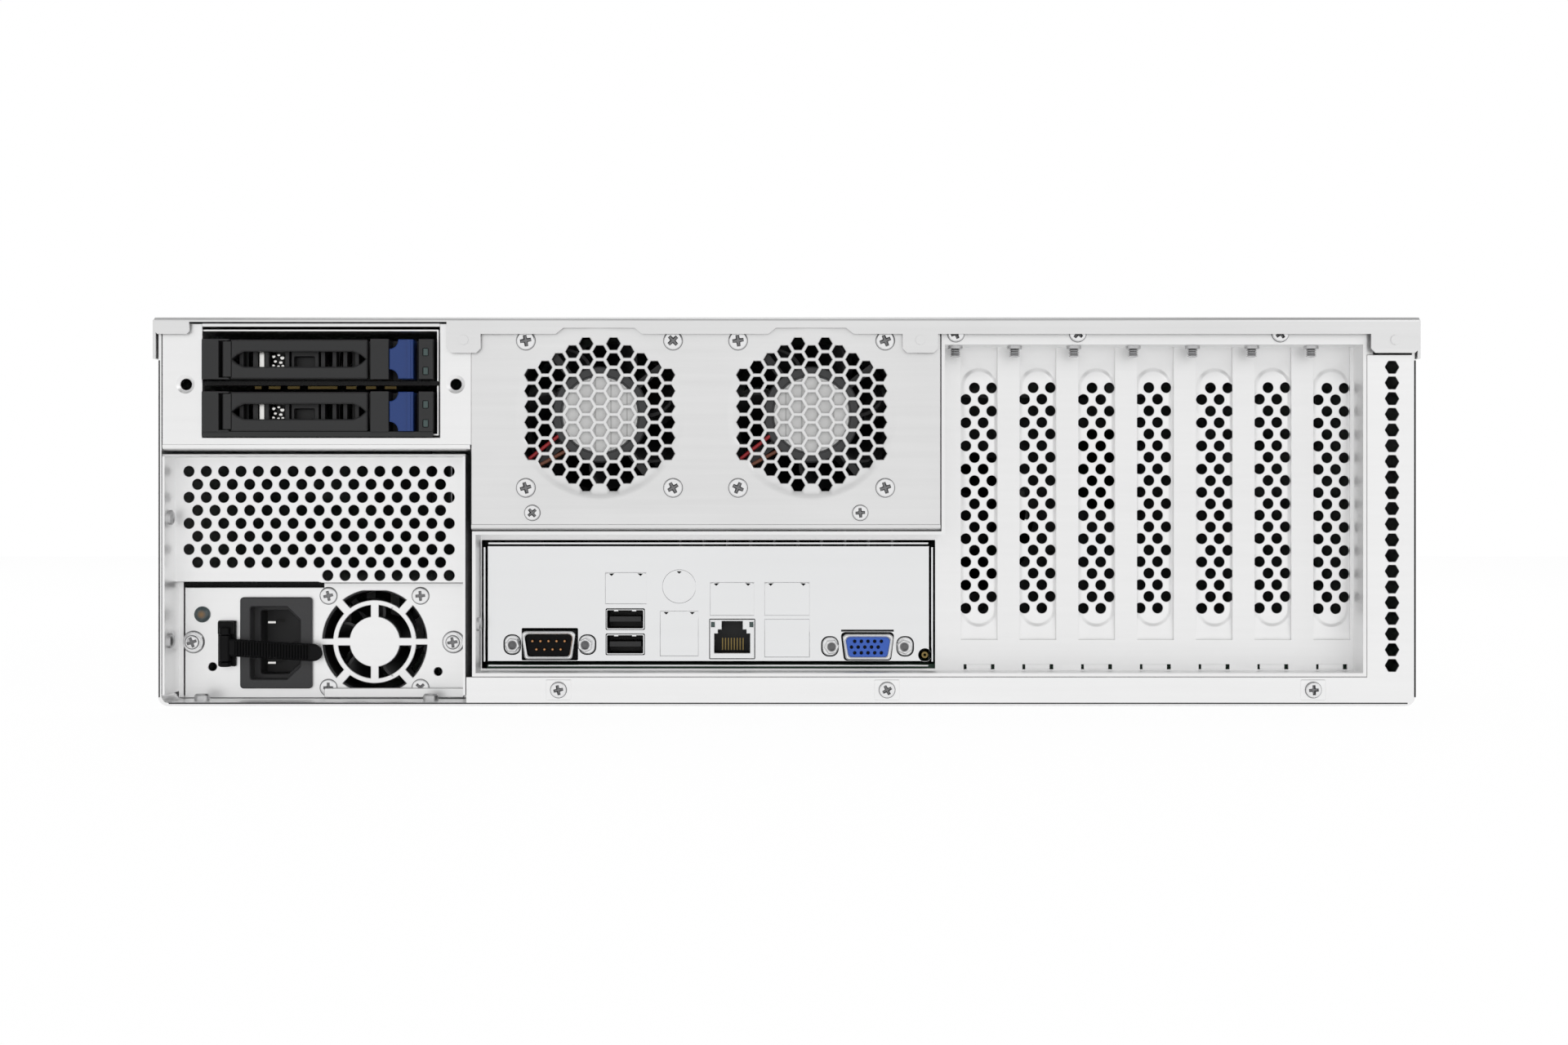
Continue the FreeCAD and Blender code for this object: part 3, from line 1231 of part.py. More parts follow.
PARTS = {
    "chassis_base": fused([chassis_base()] + board_studs()),
    "top_cover": top_cover(),
    "fan_panel": fan_panel(),
    "rear_frame": rear_frame(),
    "slot_covers": slot_covers(),
    "slot_screws": slot_screws(),
    "supply_bracket": supply_bracket(),
    "supply_housing": supply_housing(),
    "supply_fan_frame": supply_fan_frame(),
    "supply_fan_rotor": supply_fan_rotor(),
    "inlet_socket": inlet_socket(),
    "inlet_pins": inlet_pins(),
    "cord_clip": cord_clip(),
    "cord_strap": cord_strap(),
    "supply_lamp": supply_lamp(),
    "supply_screws": supply_screws(),
    "io_shield": io_shield(),
    "connector_shells": group([connector_shell(SERIAL_X, SERIAL_Z, *SERIAL_SHELL),
                               connector_shell(VIDEO_X, VIDEO_Z, *VIDEO_SHELL)]),
    "jackscrews": jackscrews(),
    "serial_insert": serial_insert(),
    "video_insert": video_insert(),
    "usb_ports": group([usb_shells(), usb_tongues()]),
    "lan_jack": lan_jack(),
    "exhaust_fan_frames": exhaust_fan_frames(),
    "exhaust_rotor_left": exhaust_rotor(FAN_X[0]),
    "exhaust_rotor_right": exhaust_rotor(FAN_X[1]),
    "fan_leads": fan_leads(),
    "panel_screws": panel_screws(),
    "drive_bay_plate": drive_bay_plate(),
    "rear_drive_cage": rear_drive_cage(),
    "motherboard": motherboard(),
    "cpu_cooler": cpu_cooler(),
    "memory_modules": memory_modules(),
    "fan_wall": fan_wall(),
    "mid_fan_frames": mid_fan_frames(),
    "backplanes": backplanes(),
    "front_cage": front_cage(),
    "front_fascia": front_fascia(),
    "control_panel": control_panel(),
    "power_button": panel_key(POWER_Z, POWER_RADIUS),
    "reset_button": panel_key(RESET_Z, RESET_RADIUS),
    "rack_ears": rack_ears(),
    "front_handles": front_handles(),
}
for side, x in zip(("left", "middle", "right"), MID_FAN_X):
    PARTS["mid_rotor_" + side] = mid_rotor(x)
for place, low in zip(("upper", "lower"), TRAY_LOWS):
    PARTS["rear_tray_" + place] = rear_tray(low)
    PARTS["rear_lever_" + place] = tray_lever(low)
    PARTS["rear_latch_" + place] = tray_latch(low)
for column in range(FRONT_COLUMNS):
    for row, name in enumerate(("lower", "upper")):
        PARTS["front_tray_%d_%s" % (column + 1, name)] = front_tray(column, row)

os.makedirs("parts", exist_ok=True)
for node, shape in PARTS.items():
    shape.exportStep("parts/%s.step" % node)
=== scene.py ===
import math

import bmesh
import bpy
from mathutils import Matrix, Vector, geometry


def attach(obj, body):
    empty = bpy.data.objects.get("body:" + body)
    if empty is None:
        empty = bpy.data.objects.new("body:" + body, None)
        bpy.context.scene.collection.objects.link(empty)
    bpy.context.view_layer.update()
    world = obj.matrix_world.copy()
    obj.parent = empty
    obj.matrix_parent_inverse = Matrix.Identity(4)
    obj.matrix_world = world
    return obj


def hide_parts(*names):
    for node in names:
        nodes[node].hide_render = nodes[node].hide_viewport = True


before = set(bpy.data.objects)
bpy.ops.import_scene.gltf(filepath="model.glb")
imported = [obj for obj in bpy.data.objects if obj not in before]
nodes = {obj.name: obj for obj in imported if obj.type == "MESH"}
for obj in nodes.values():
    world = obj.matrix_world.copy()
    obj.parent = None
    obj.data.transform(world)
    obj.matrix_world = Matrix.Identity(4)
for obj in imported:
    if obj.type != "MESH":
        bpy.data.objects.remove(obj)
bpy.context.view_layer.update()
bpy.context.scene.view_settings.view_transform = "Standard"


# Folded chassis: floor and side walls in one piece of 1.2 mm zinc-coated steel, bent on a press.
# The coat has a cloudy bloom, faint streaks along the rolling direction and a soft satin shine.

def node(tree, kind, inputs=None, **settings):
    """Shader node; each input takes a value or another node's output."""
    made = tree.nodes.new("ShaderNode" + kind)
    for name, value in settings.items():
        setattr(made, name, value)
    for name, value in (inputs or {}).items():
        if isinstance(value, bpy.types.NodeSocket):
            tree.links.new(value, made.inputs[name])
        else:
            made.inputs[name].default_value = value
    return made


def noise(tree, scale, detail, stretch=None):
    """Noise in the piece's own space, in metres, stretched along an axis if wanted."""
    source = node(tree, "TexCoord").outputs["Object"]
    if stretch:
        source = node(tree, "Mapping", {"Vector": source, "Scale": stretch}).outputs["Vector"]
    return node(tree, "TexNoise", {"Vector": source, "Scale": scale, "Detail": detail}).outputs["Fac"]


def summed(tree, first, second, share):
    """first times (1 - share) plus second times share."""
    return node(tree, "Mix", {0: share, 2: first, 3: second}).outputs[0]


def surface_group(name):
    """Node group that puts out a finish's tone and its fine relief."""
    group = bpy.data.node_groups.new(name, "ShaderNodeTree")
    for label in ("Tone", "Relief"):
        group.interface.new_socket(label, in_out="OUTPUT", socket_type="NodeSocketFloat")
    return group, group.nodes.new("NodeGroupOutput")


zinc_bloom, zinc_out = surface_group("zinc_bloom")
cloud = noise(zinc_bloom, 14.0, 3.0)
streak = noise(zinc_bloom, 30.0, 2.0, (0.4, 0.4, 14.0))
spangle = noise(zinc_bloom, 900.0, 2.0)
zinc_bloom.links.new(summed(zinc_bloom, cloud, streak, 0.35), zinc_out.inputs["Tone"])
zinc_bloom.links.new(summed(zinc_bloom, spangle, streak, 0.4), zinc_out.inputs["Relief"])


def coated(name, group, colour, swing, rough, rough_swing, metallic, bump, height=0.00004):
    """Material whose colour, shine and fine relief follow a shared group's tone."""
    material = bpy.data.materials.new(name)
    material.use_nodes = True
    tree = material.node_tree
    shader = tree.nodes["Principled BSDF"]
    shader.inputs["Metallic"].default_value = metallic
    pattern = node(tree, "Group", node_tree=group)
    tone = pattern.outputs["Tone"]
    dark, light = [[min(1.0, c * level) for c in colour] + [1.0] for level in (1 - swing, 1 + swing)]
    shade = node(tree, "Mix", {0: tone, 6: dark, 7: light}, data_type="RGBA")
    tree.links.new(shade.outputs[2], shader.inputs["Base Color"])
    gloss = node(tree, "MapRange", {"Value": tone, "To Min": rough - rough_swing,
                                    "To Max": rough + rough_swing})
    tree.links.new(gloss.outputs["Result"], shader.inputs["Roughness"])
    relief = node(tree, "Bump", {"Height": pattern.outputs["Relief"], "Strength": bump, "Distance": height})
    tree.links.new(relief.outputs["Normal"], shader.inputs["Normal"])
    return material


zinc = coated("zinc_steel", zinc_bloom, (0.92, 0.92, 0.92), 0.07, 0.38, 0.08, 0.92, 0.15)
EDGE_ANGLE = math.radians(40)
WELD_GAP = 0.000005
FLAT_ANGLE = math.radians(1.0)


def softened(made, edge, steps):
    """Rounded edges, as a press, a mould or a deburring wheel leaves them."""
    bevel = made.modifiers.new("edge", "BEVEL")
    bevel.width = edge / 1000
    bevel.segments = steps
    bevel.limit_method = "ANGLE"
    bevel.angle_limit = EDGE_ANGLE
    bevel.harden_normals = True


def dressed(name, material, edge=0.2, steps=1):
    """CAD node kept as it is, with its finish and softened edges."""
    made = nodes[name]
    made.data.materials.clear()
    made.data.materials.append(material)
    weld = made.modifiers.new("weld", "WELD")
    weld.merge_threshold = WELD_GAP
    flat = made.modifiers.new("flat", "DECIMATE")
    flat.decimate_type = "DISSOLVE"
    flat.angle_limit = FLAT_ANGLE
    softened(made, edge, steps)


dressed("chassis_base", zinc, 0.25)


# Sliding top cover: 1 mm coated sheet with side skirts and a rear flange that hooks over the panels.
# Three tabs reach down from the flange, and two shallow reliefs clear the fan grilles.

rolled = coated("rolled_zinc", zinc_bloom, (0.79, 0.79, 0.79), 0.15, 0.36, 0.10, 0.92, 0.2)
dressed("top_cover", rolled, 0.4, 2)


# Fan panel: coated plate with two dished grilles of hexagonal holes, turned inwards at its lower edge.
# The press punches the holes and dishes the discs in one stroke, so the webs have soft bright edges.

REAR = -324.0


def ring(xc, zc, radius, count=40, turn=0.0):
    step = 2 * math.pi / count
    angles = [turn + i * step for i in range(count)]
    return [(xc + radius * math.cos(a), zc + radius * math.sin(a)) for a in angles]


def rounded(corners, steps=5):
    """Anticlockwise outline from corners (x, z, radius)."""
    points = []
    for i, (x, z, radius) in enumerate(corners):
        if radius == 0:
            points.append((x, z))
            continue
        here = Vector((x, z))
        back = (Vector(corners[i - 1][:2]) - here).normalized()
        ahead = (Vector(corners[(i + 1) % len(corners)][:2]) - here).normalized()
        half = back.angle(ahead) / 2
        centre = here + (back + ahead).normalized() * (radius / math.sin(half))
        start = here + back * (radius / math.tan(half)) - centre
        turn = start.angle_signed(here + ahead * (radius / math.tan(half)) - centre)
        for k in range(steps + 1):
            a = -turn * k / steps
            points.append((centre.x + start.x * math.cos(a) - start.y * math.sin(a),
                           centre.y + start.x * math.sin(a) + start.y * math.cos(a)))
    return points


def oblong(x0, x1, z0, z1, radius=0.0, steps=5):
    return rounded([(x, z, radius) for x, z in ((x0, z0), (x1, z0), (x1, z1), (x0, z1))], steps)


def grown(loop, by):
    """Anticlockwise outline moved out by a distance all round."""
    moved = []
    for i, (x, z) in enumerate(loop):
        before = (Vector((x, z)) - Vector(loop[i - 1])).normalized()
        after = (Vector(loop[(i + 1) % len(loop)]) - Vector((x, z))).normalized()
        out = Vector((before.y + after.y, -before.x - after.x))
        out /= max(0.3, 1 + before.dot(after))
        moved.append((x + out.x * by, z + out.y * by))
    return moved


def plate(outer, holes, front, back, edge=0.15, inside=(), lift=None):
    """Punched sheet with a softened front edge; inside points and lift press it out of its plane."""
    verts, faces, seen = [], [], {}

    def vertex(x, y, z):
        key = (round(x, 4), round(y, 4), round(z, 4))
        if key not in seen:
            seen[key] = len(verts)
            verts.append((x, y + (lift(x, z) if lift else 0.0), z))
        return seen[key]

    def cap(loops, y):
        points, rings = [], []
        for loop in loops:
            rings.append(list(range(len(points), len(points) + len(loop))))
            points += [Vector(p) for p in loop]
        points += [Vector(p) for p in inside]
        flat, _, triangles, _, _, owners = geometry.delaunay_2d_cdt(points, [], rings, 0, 1e-6)
        for triangle, within in zip(triangles, owners):
            if list(within) == [0]:
                faces.append([vertex(flat[i].x, y, flat[i].y) for i in triangle])

    rims = [grown(outer, -edge)] + [grown(hole, edge) for hole in holes]
    loops = [outer] + list(holes)
    cap(rims, front)
    cap(loops, back)
    for rim, loop in zip(rims, loops):
        levels = [[vertex(x, front, z) for x, z in rim], [vertex(x, front + edge, z) for x, z in loop],
                  [vertex(x, back, z) for x, z in loop]]
        for low, high in zip(levels, levels[1:]):
            for i in range(len(low)):
                j = (i + 1) % len(low)
                faces.append([low[i], low[j], high[j], high[i]])
    return verts, faces


def piece(name, parts, material, stands_for=(), edge=0.0, steps=2, smooth=35, body="case"):
    """One object from lists of corners and faces in millimetres, riding on its body."""
    verts, faces = [], []
    for part_verts, part_faces in parts:
        base = len(verts)
        verts += [(x / 1000, y / 1000, z / 1000) for x, y, z in part_verts]
        faces += [[base + i for i in face] for face in part_faces]
    mesh = bpy.data.meshes.new(name)
    mesh.from_pydata(verts, [], faces)
    work = bmesh.new()
    work.from_mesh(mesh)
    bmesh.ops.recalc_face_normals(work, faces=work.faces)
    work.to_mesh(mesh)
    work.free()
    mesh.polygons.foreach_set("use_smooth", [True] * len(mesh.polygons))
    mesh.set_sharp_from_angle(angle=math.radians(smooth))
    mesh.materials.append(material)
    made = bpy.data.objects.new(name, mesh)
    bpy.context.scene.collection.objects.link(made)
    if edge:
        softened(made, edge, steps)
    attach(made, body)
    if stands_for:
        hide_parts(*stands_for)


def block(x0, x1, y0, y1, z0, z1):
    verts = [(x, y, z) for x in (x0, x1) for y in (y0, y1) for z in (z0, z1)]
    return verts, [[0, 1, 3, 2], [4, 5, 7, 6], [0, 1, 5, 4], [2, 3, 7, 6], [0, 2, 6, 4], [1, 3, 7, 5]]


def swept(profile, x0, x1):
    """Bar with a section given as (y, z) points, drawn along X."""
    count = len(profile)
    verts = [(x, y, z) for x in (x0, x1) for y, z in profile]
    faces = [[i, (i + 1) % count, count + (i + 1) % count, count + i] for i in range(count)]
    return verts, faces + [list(range(count)), list(range(count, 2 * count))]


def folded_lip(fold, x0, x1):
    """Lower edge of a rear plate, bent inwards from a height, with a radius of 2 mm outside."""
    angles = [math.pi / 2 * k / 5 for k in range(6)]
    outside = [(REAR + 2 - 2 * math.cos(a), fold - 2 * math.sin(a)) for a in angles]
    inside = [(REAR + 2 - math.cos(a), fold - math.sin(a)) for a in angles]
    return swept(outside + [(REAR + 9, fold - 2), (REAR + 9, fold - 1)] + inside[::-1], x0, x1)


FAN_X = (-63.6, 8.5)
FAN_Z = 99.2
HEX_FLATS = 4.15
HEX_PITCH = 5.35
HEX_COLUMN = 4.645
GRILLE_COLUMNS = (6, 7, 8, 9, 10, 9, 10, 9, 8, 7, 6)
DISH_RADIUS = 29.4
DISH_SHOULDER = 3.4
DISH_DEPTH = 0.75
PANEL_LEFT, PANEL_RIGHT = -107.2, 52.3
PANEL_FOLD = 61.6
PLATE_TOP = 130.0


def hexagons(xc, zc):
    holes = []
    for i, count in enumerate(GRILLE_COLUMNS):
        x = xc + (i - 5) * HEX_COLUMN
        rows = [zc + (j - (count - 1) / 2) * HEX_PITCH for j in range(count)]
        holes += [ring(x, z, HEX_FLATS / math.sqrt(3), 6) for z in rows]
    return holes


def eased(reach, radius, shoulder):
    """0 outside a radius, 1 past its shoulder, straight between."""
    return min(1.0, max(0.0, (radius - reach) / shoulder))


def dish(x, z):
    """Depth of the pressed discs: a soft shoulder, then flat."""
    t = eased(min(math.hypot(x - xc, z - FAN_Z) for xc in FAN_X), DISH_RADIUS, DISH_SHOULDER)
    return DISH_DEPTH * t * t * (3 - 2 * t)


def clear_of(holes, points, gap):
    """Those points that stand off the middle of every hole by more than a gap."""
    middles = [(sum(x for x, _ in hole) / len(hole), sum(z for _, z in hole) / len(hole)) for hole in holes]
    return [(x, z) for x, z in points if all(math.hypot(x - xm, z - zm) > gap for xm, zm in middles)]


panel_holes = hexagons(FAN_X[0], FAN_Z) + hexagons(FAN_X[1], FAN_Z)
dish_rings = [p for xc in FAN_X for inset in range(6) for p in ring(xc, FAN_Z, DISH_RADIUS - inset, 72)]
piece("fan_panel_plate", [
    plate(oblong(PANEL_LEFT, PANEL_RIGHT, PANEL_FOLD, PLATE_TOP), panel_holes, REAR, REAR + 1.0, 0.22,
          clear_of(panel_holes, dish_rings, 3.0), dish),
    folded_lip(PANEL_FOLD, PANEL_LEFT, PANEL_RIGHT),
], rolled, ["fan_panel"])


# Panel screws: pan heads with a cross recess, zinc plated, holding the fans, the panel and the lower rim.
# The recess is cold-formed, so its arms have soft lips; its floor and a thin ring round each head are dark as
# painted shade. The rim's screws sit on lanced tabs, and near-black strips where the rim and the strips at
# the sides are folded are painted shade of the fold gaps.

bright = coated("bright_steel", zinc_bloom, (0.82, 0.82, 0.825), 0.08, 0.28, 0.08, 1.0, 0.2)
# Near-black steel for screw recesses, the rings round heads and the jackscrew bores: painted shade.
recess_shade = coated("painted_recess_shade", zinc_bloom, (0.23, 0.23, 0.235), 0.3, 0.42, 0.08, 0.9, 0.2)


def turned(xc, zc, profile, count=48, upright=False, face=0.0):
    """Round piece from (radius, height over a face) points, about an axis along Y, or along Z at (x, y)."""
    verts, faces, rows = [], [], []
    for r, h in profile:
        row = []
        for i in range(1 if r < 1e-6 else count):
            a = 2 * math.pi * i / count
            u, v = xc + r * math.cos(a), zc + r * math.sin(a)
            row.append(len(verts))
            verts.append((u, v, face + h) if upright else (u, face + h, v))
        rows.append(row)
    for low, high in zip(rows, rows[1:]):
        for i in range(count):
            j = (i + 1) % count
            corners = (low[i % len(low)], low[j % len(low)], high[j % len(high)], high[i % len(high)])
            faces.append([v for k, v in enumerate(corners) if v not in corners[:k]])
    return verts, faces


def cross_head(xc, zc, radius, face, height, turn, reach=0.6, half=0.17):
    """Pan head that stands out of a rear face, and its cross recess with a thin ring round the head; recess
    and ring carry painted shade.
    """
    arm = math.atan2(half, reach)
    between = (arm + math.pi / 4) / 2
    spread = [(quarter * math.pi / 2, a) for quarter in range(4)
              for a in (-math.pi / 4, -between, -arm, 0.0, arm, between)]
    count = len(spread)
    edge = [radius * (reach / math.cos(a) if abs(a) <= arm + 1e-9 else half / abs(math.sin(a)))
            for _, a in spread]

    def shell(levels):
        verts, faces = [], []
        for radii, stand in levels:
            for (base, a), r in zip(spread, radii):
                t = base + a + math.radians(turn)
                h = height * (1 - 0.12 * (r / radius) ** 2) if stand is None else stand
                verts.append((xc + r * math.cos(t), face - h, zc + r * math.sin(t)))
        for start in range(0, count * (len(levels) - 1), count):
            for i in range(count):
                j = (i + 1) % count
                faces.append([start + i, start + j, start + count + j, start + count + i])
        return verts, faces

    head = [(edge, height * 0.8), ([e + 0.07 * radius for e in edge], None)]
    head += [([e + (0.9 * radius - e) * t for e in edge], None) for t in (0.5, 1.0)]
    head += [([radius * 0.97] * count, height * 0.72), ([radius] * count, height * 0.45)]
    head.append(([radius] * count, -0.02))
    recess = [([0.05 * e for e in edge], height * 0.1), ([0.6 * e for e in edge], height * 0.1),
              ([0.88 * e for e in edge], height * 0.2), (edge, height * 0.8)]
    verts, faces = shell(recess)
    faces.append(list(range(count)))
    shade_ring = turned(xc, zc, [(radius * 0.8, -0.25), (radius + 0.12, -0.25), (radius + 0.2, -0.17),
                             (radius + 0.2, 0.0)], 32, face=face)
    faces += [[len(verts) + i for i in corners] for corners in shade_ring[1]]
    return shell(head), (verts + shade_ring[0], faces)


RIM_SCREWS_X = (-77.5, 34.1, 178.9)
FLANGE_SCREWS_X = (57.5, 98.9, 167.7)
TAB_FACE = REAR - 0.3
SCREW_TURNS = (10, 42, 15, 30, 8, 22, 66, 18, 40, 5, 12, 28, 3, 20, 50, 35)
screw_places = [(x + sx * 25, FAN_Z + sz * 25, 3.15, REAR) for x in FAN_X for sz in (1, -1) for sx in (-1, 1)]
screw_places += [(-86.4, 65.7, 2.6, REAR), (25.0, 65.7, 2.6, REAR)]
screw_places += [(x, 5.5, 2.65, TAB_FACE) for x in RIM_SCREWS_X]
screw_places += [(x, 126.6, 2.8, REAR) for x in FLANGE_SCREWS_X]
heads, recesses = zip(*[cross_head(x, z, r, y, 1.2, t) for (x, z, r, y), t in zip(screw_places, SCREW_TURNS)])
piece("rear_screw_heads", heads, bright, ["panel_screws"])
piece("rear_screw_recesses", recesses, recess_shade)
piece("rim_lanced_tabs", [plate(oblong(x - 4.3, x + 4.3, 2.0, 9.0, 0.5, 3), [], TAB_FACE, REAR, 0.2)
                          for x in RIM_SCREWS_X], zinc)
# Thin near-black strips along the folds: painted shade of the fold gaps.
painted_seam_shade = coated("painted_seam_shade", zinc_bloom, (0.03, 0.03, 0.031), 0.3, 0.7, 0.05, 0.2, 0.3)
SEAMS = ((213.2, 213.8, 3.0, 117.5), (-213.4, -212.95, 3.0, 117.5), (-210.0, 211.0, 0.7, 1.15))
seams = [block(left, right, REAR - 0.03, REAR, low, high) for left, right, low, high in SEAMS]
piece("rear_fold_seam_shade", seams, painted_seam_shade)
piece("recess_corner_fold", [block(196.9, 199.6, REAR + 1.3, REAR + 2.0, 118.2, 127.6)], zinc)


# Exhaust fans: square black mouldings with the motor on struts at the rear, and a bladed rotor behind it.
# A plain ruled paper disc covers the motor, and two leads run along a strut into the frame's channel.

grain, grain_out = surface_group("moulded_grain")
broad = noise(grain, 40.0, 2.0)
fine = noise(grain, 2400.0, 2.0)
grain.links.new(summed(grain, broad, fine, 0.45), grain_out.inputs["Tone"])
grain.links.new(fine, grain_out.inputs["Relief"])
black = coated("black_plastic", grain, (0.012, 0.012, 0.013), 0.35, 0.42, 0.06, 0.0, 0.25)
hub_grey = coated("hub_plastic", grain, (0.045, 0.046, 0.048), 0.25, 0.45, 0.06, 0.0, 0.2)


def spun(part, xc, zc, degrees):
    """Part turned about an axis along Y."""
    c, s = math.cos(math.radians(degrees)), math.sin(math.radians(degrees))
    from_axis = [(x - xc, y, z - zc) for x, y, z in part[0]]
    return [(xc + dx * c - dz * s, y, zc + dx * s + dz * c) for dx, y, dz in from_axis], part[1]


def blade(xc, zc, hub, tip, y0, y1, start, sweep, thick):
    """Curved fan blade between hub and tip, lying on a helix from y0 to y1; angles in degrees."""
    rows, across = 6, 7
    verts, faces = [], []
    for side in (-0.5, 0.5):
        for i in range(rows):
            r = hub + (tip - hub) * i / (rows - 1)
            lean = 14.0 * (i / (rows - 1)) ** 2
            for j in range(across):
                t = j / (across - 1)
                a = math.radians(start + lean + sweep * t) + side * thick / r
                y = y0 + (y1 - y0) * (t ** 1.25)
                verts.append((xc + r * math.cos(a), y, zc + r * math.sin(a)))
    size = rows * across
    for side in (0, size):
        for i in range(rows - 1):
            for j in range(across - 1):
                k = side + i * across + j
                faces.append([k, k + 1, k + across + 1, k + across])
    border = list(range(across)) + [i * across + across - 1 for i in range(1, rows)]
    border += [size - 1 - j for j in range(1, across)] + [i * across for i in range(rows - 2, 0, -1)]
    for a, b in zip(border, border[1:] + border[:1]):
        faces.append([a, b, size + b, size + a])
    return verts, faces


FAN_FACE = REAR + 1.8
STRUT_ANGLES = (38, 128, 218, 308)
motor_cup = [(0, 5.4), (15.9, 5.4), (16.4, 4.9), (16.4, 0.9), (15.9, 0.4), (13.6, 0.4), (13.4, 0.7), (0, 0.7)]
fan_parts = []
hub_parts = []
for xc in FAN_X:
    fan_parts.append(plate(oblong(xc - 30, xc + 30, FAN_Z - 30, FAN_Z + 30, 3.0), [ring(xc, FAN_Z, 28.6, 72)],
                           FAN_FACE, FAN_FACE + 25, 0.4))
    strut = block(xc + 14, xc + 29, FAN_FACE + 1.4, FAN_FACE + 4.4, FAN_Z - 1.3, FAN_Z + 1.3)
    fan_parts += [spun(strut, xc, FAN_Z, a) for a in STRUT_ANGLES]
    hub_parts.append(turned(xc, FAN_Z, motor_cup, 72, face=FAN_FACE))
piece("exhaust_frames", fan_parts, black, ["exhaust_fan_frames"], 0.3, 1)
piece("exhaust_motor_cups", hub_parts, hub_grey)

ruled, ruled_out = surface_group("ruled_paper")
paper_cloud = noise(ruled, 120.0, 2.0)
paper_place = node(ruled, "TexCoord").outputs["Object"]
rules = node(ruled, "TexWave", {"Vector": paper_place, "Scale": 58.0, "Distortion": 0.0}, wave_profile="SAW")
off_line = node(ruled, "Math", {0: rules.outputs["Fac"], 1: 0.90}, operation="LESS_THAN")
ruled.links.new(summed(ruled, paper_cloud, off_line.outputs[0], 0.6), ruled_out.inputs["Tone"])
ruled.links.new(paper_cloud, ruled_out.inputs["Relief"])
paper = coated("ruled_paper", ruled, (0.70, 0.70, 0.695), 0.30, 0.5, 0.05, 0.0, 0.1)
disc = [(0, 0.62), (12.7, 0.62), (12.8, 0.7)]
piece("fan_labels", [turned(x, FAN_Z, disc, 64, face=FAN_FACE) for x in FAN_X], paper)

drum = [(0, 7.8), (15.2, 7.8), (15.8, 8.4), (15.8, 25.2), (15.2, 25.8), (0, 25.8)]
shaft = [(1.5, 3.8), (1.5, 8.0)]
for side, xc in zip(("left", "right"), FAN_X):
    rotor = [turned(xc, FAN_Z, drum, 60, face=REAR), turned(xc, FAN_Z, shaft, 24, face=REAR)]
    rotor += [blade(xc, FAN_Z, 15.4, 25.4, REAR + 9.0, REAR + 24.6, 360 / 7 * i, 40, 1.2) for i in range(7)]
    piece("exhaust_blades_" + side, rotor, black, ["exhaust_rotor_" + side],
          body="exhaust_fan_" + side)

lead_red = coated("lead_red", grain, (0.42, 0.02, 0.025), 0.2, 0.38, 0.05, 0.0, 0.1)
lead_brown = coated("lead_brown", grain, (0.21, 0.075, 0.04), 0.2, 0.38, 0.05, 0.0, 0.1)
LEAD_RADIUS = 0.65
LEAD_ENDS = (((-13.8, -6.9), (-25.4, -16.0)), ((-9.6, -11.25), (-23.2, -18.6)))


def lead(name, points, material):
    """Insulated wire along a smooth line."""
    curve = bpy.data.curves.new(name, "CURVE")
    curve.dimensions = "3D"
    curve.bevel_depth = LEAD_RADIUS / 1000
    curve.bevel_resolution = 3
    curve.use_fill_caps = True
    line = curve.splines.new("NURBS")
    line.points.add(len(points) - 1)
    for point, place in zip(line.points, points):
        point.co = [v / 1000 for v in place] + [1.0]
    line.order_u = 3
    line.use_endpoint_u = True
    curve.materials.append(material)
    made = bpy.data.objects.new(name, curve)
    bpy.context.scene.collection.objects.link(made)
    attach(made, "case")


for side, xc in zip(("left", "right"), FAN_X):
    for colour, finish, ((x0, z0), (x1, z1)) in zip(("red", "brown"), (lead_red, lead_brown), LEAD_ENDS):
        route = [(xc + x0 + (x1 - x0) * t, FAN_FACE + 1.1, FAN_Z + z0 + (z1 - z0) * t)
                 for t in (0.0, 0.33, 0.67, 1.0)]
        lead("fan_lead_%s_%s" % (colour, side), route, finish)
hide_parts("fan_leads")


# Recessed frame: a pan pressed in coated steel that holds the port shield and the seven expansion slots.
# It is screwed in behind the rim, so its floor lies deeper than the fan panel, with a duller coat.

pan_zinc = coated("pan_zinc", zinc_bloom, (0.92, 0.92, 0.92), 0.07, 0.50, 0.08, 0.92, 0.15)
dressed("rear_frame", pan_zinc, 0.2)


# Slot covers: thin coated blanks with an embossed panel of round holes, hooked in at the foot.
# Each lies a little differently behind its slot; the screws of their tabs show below the ledge.

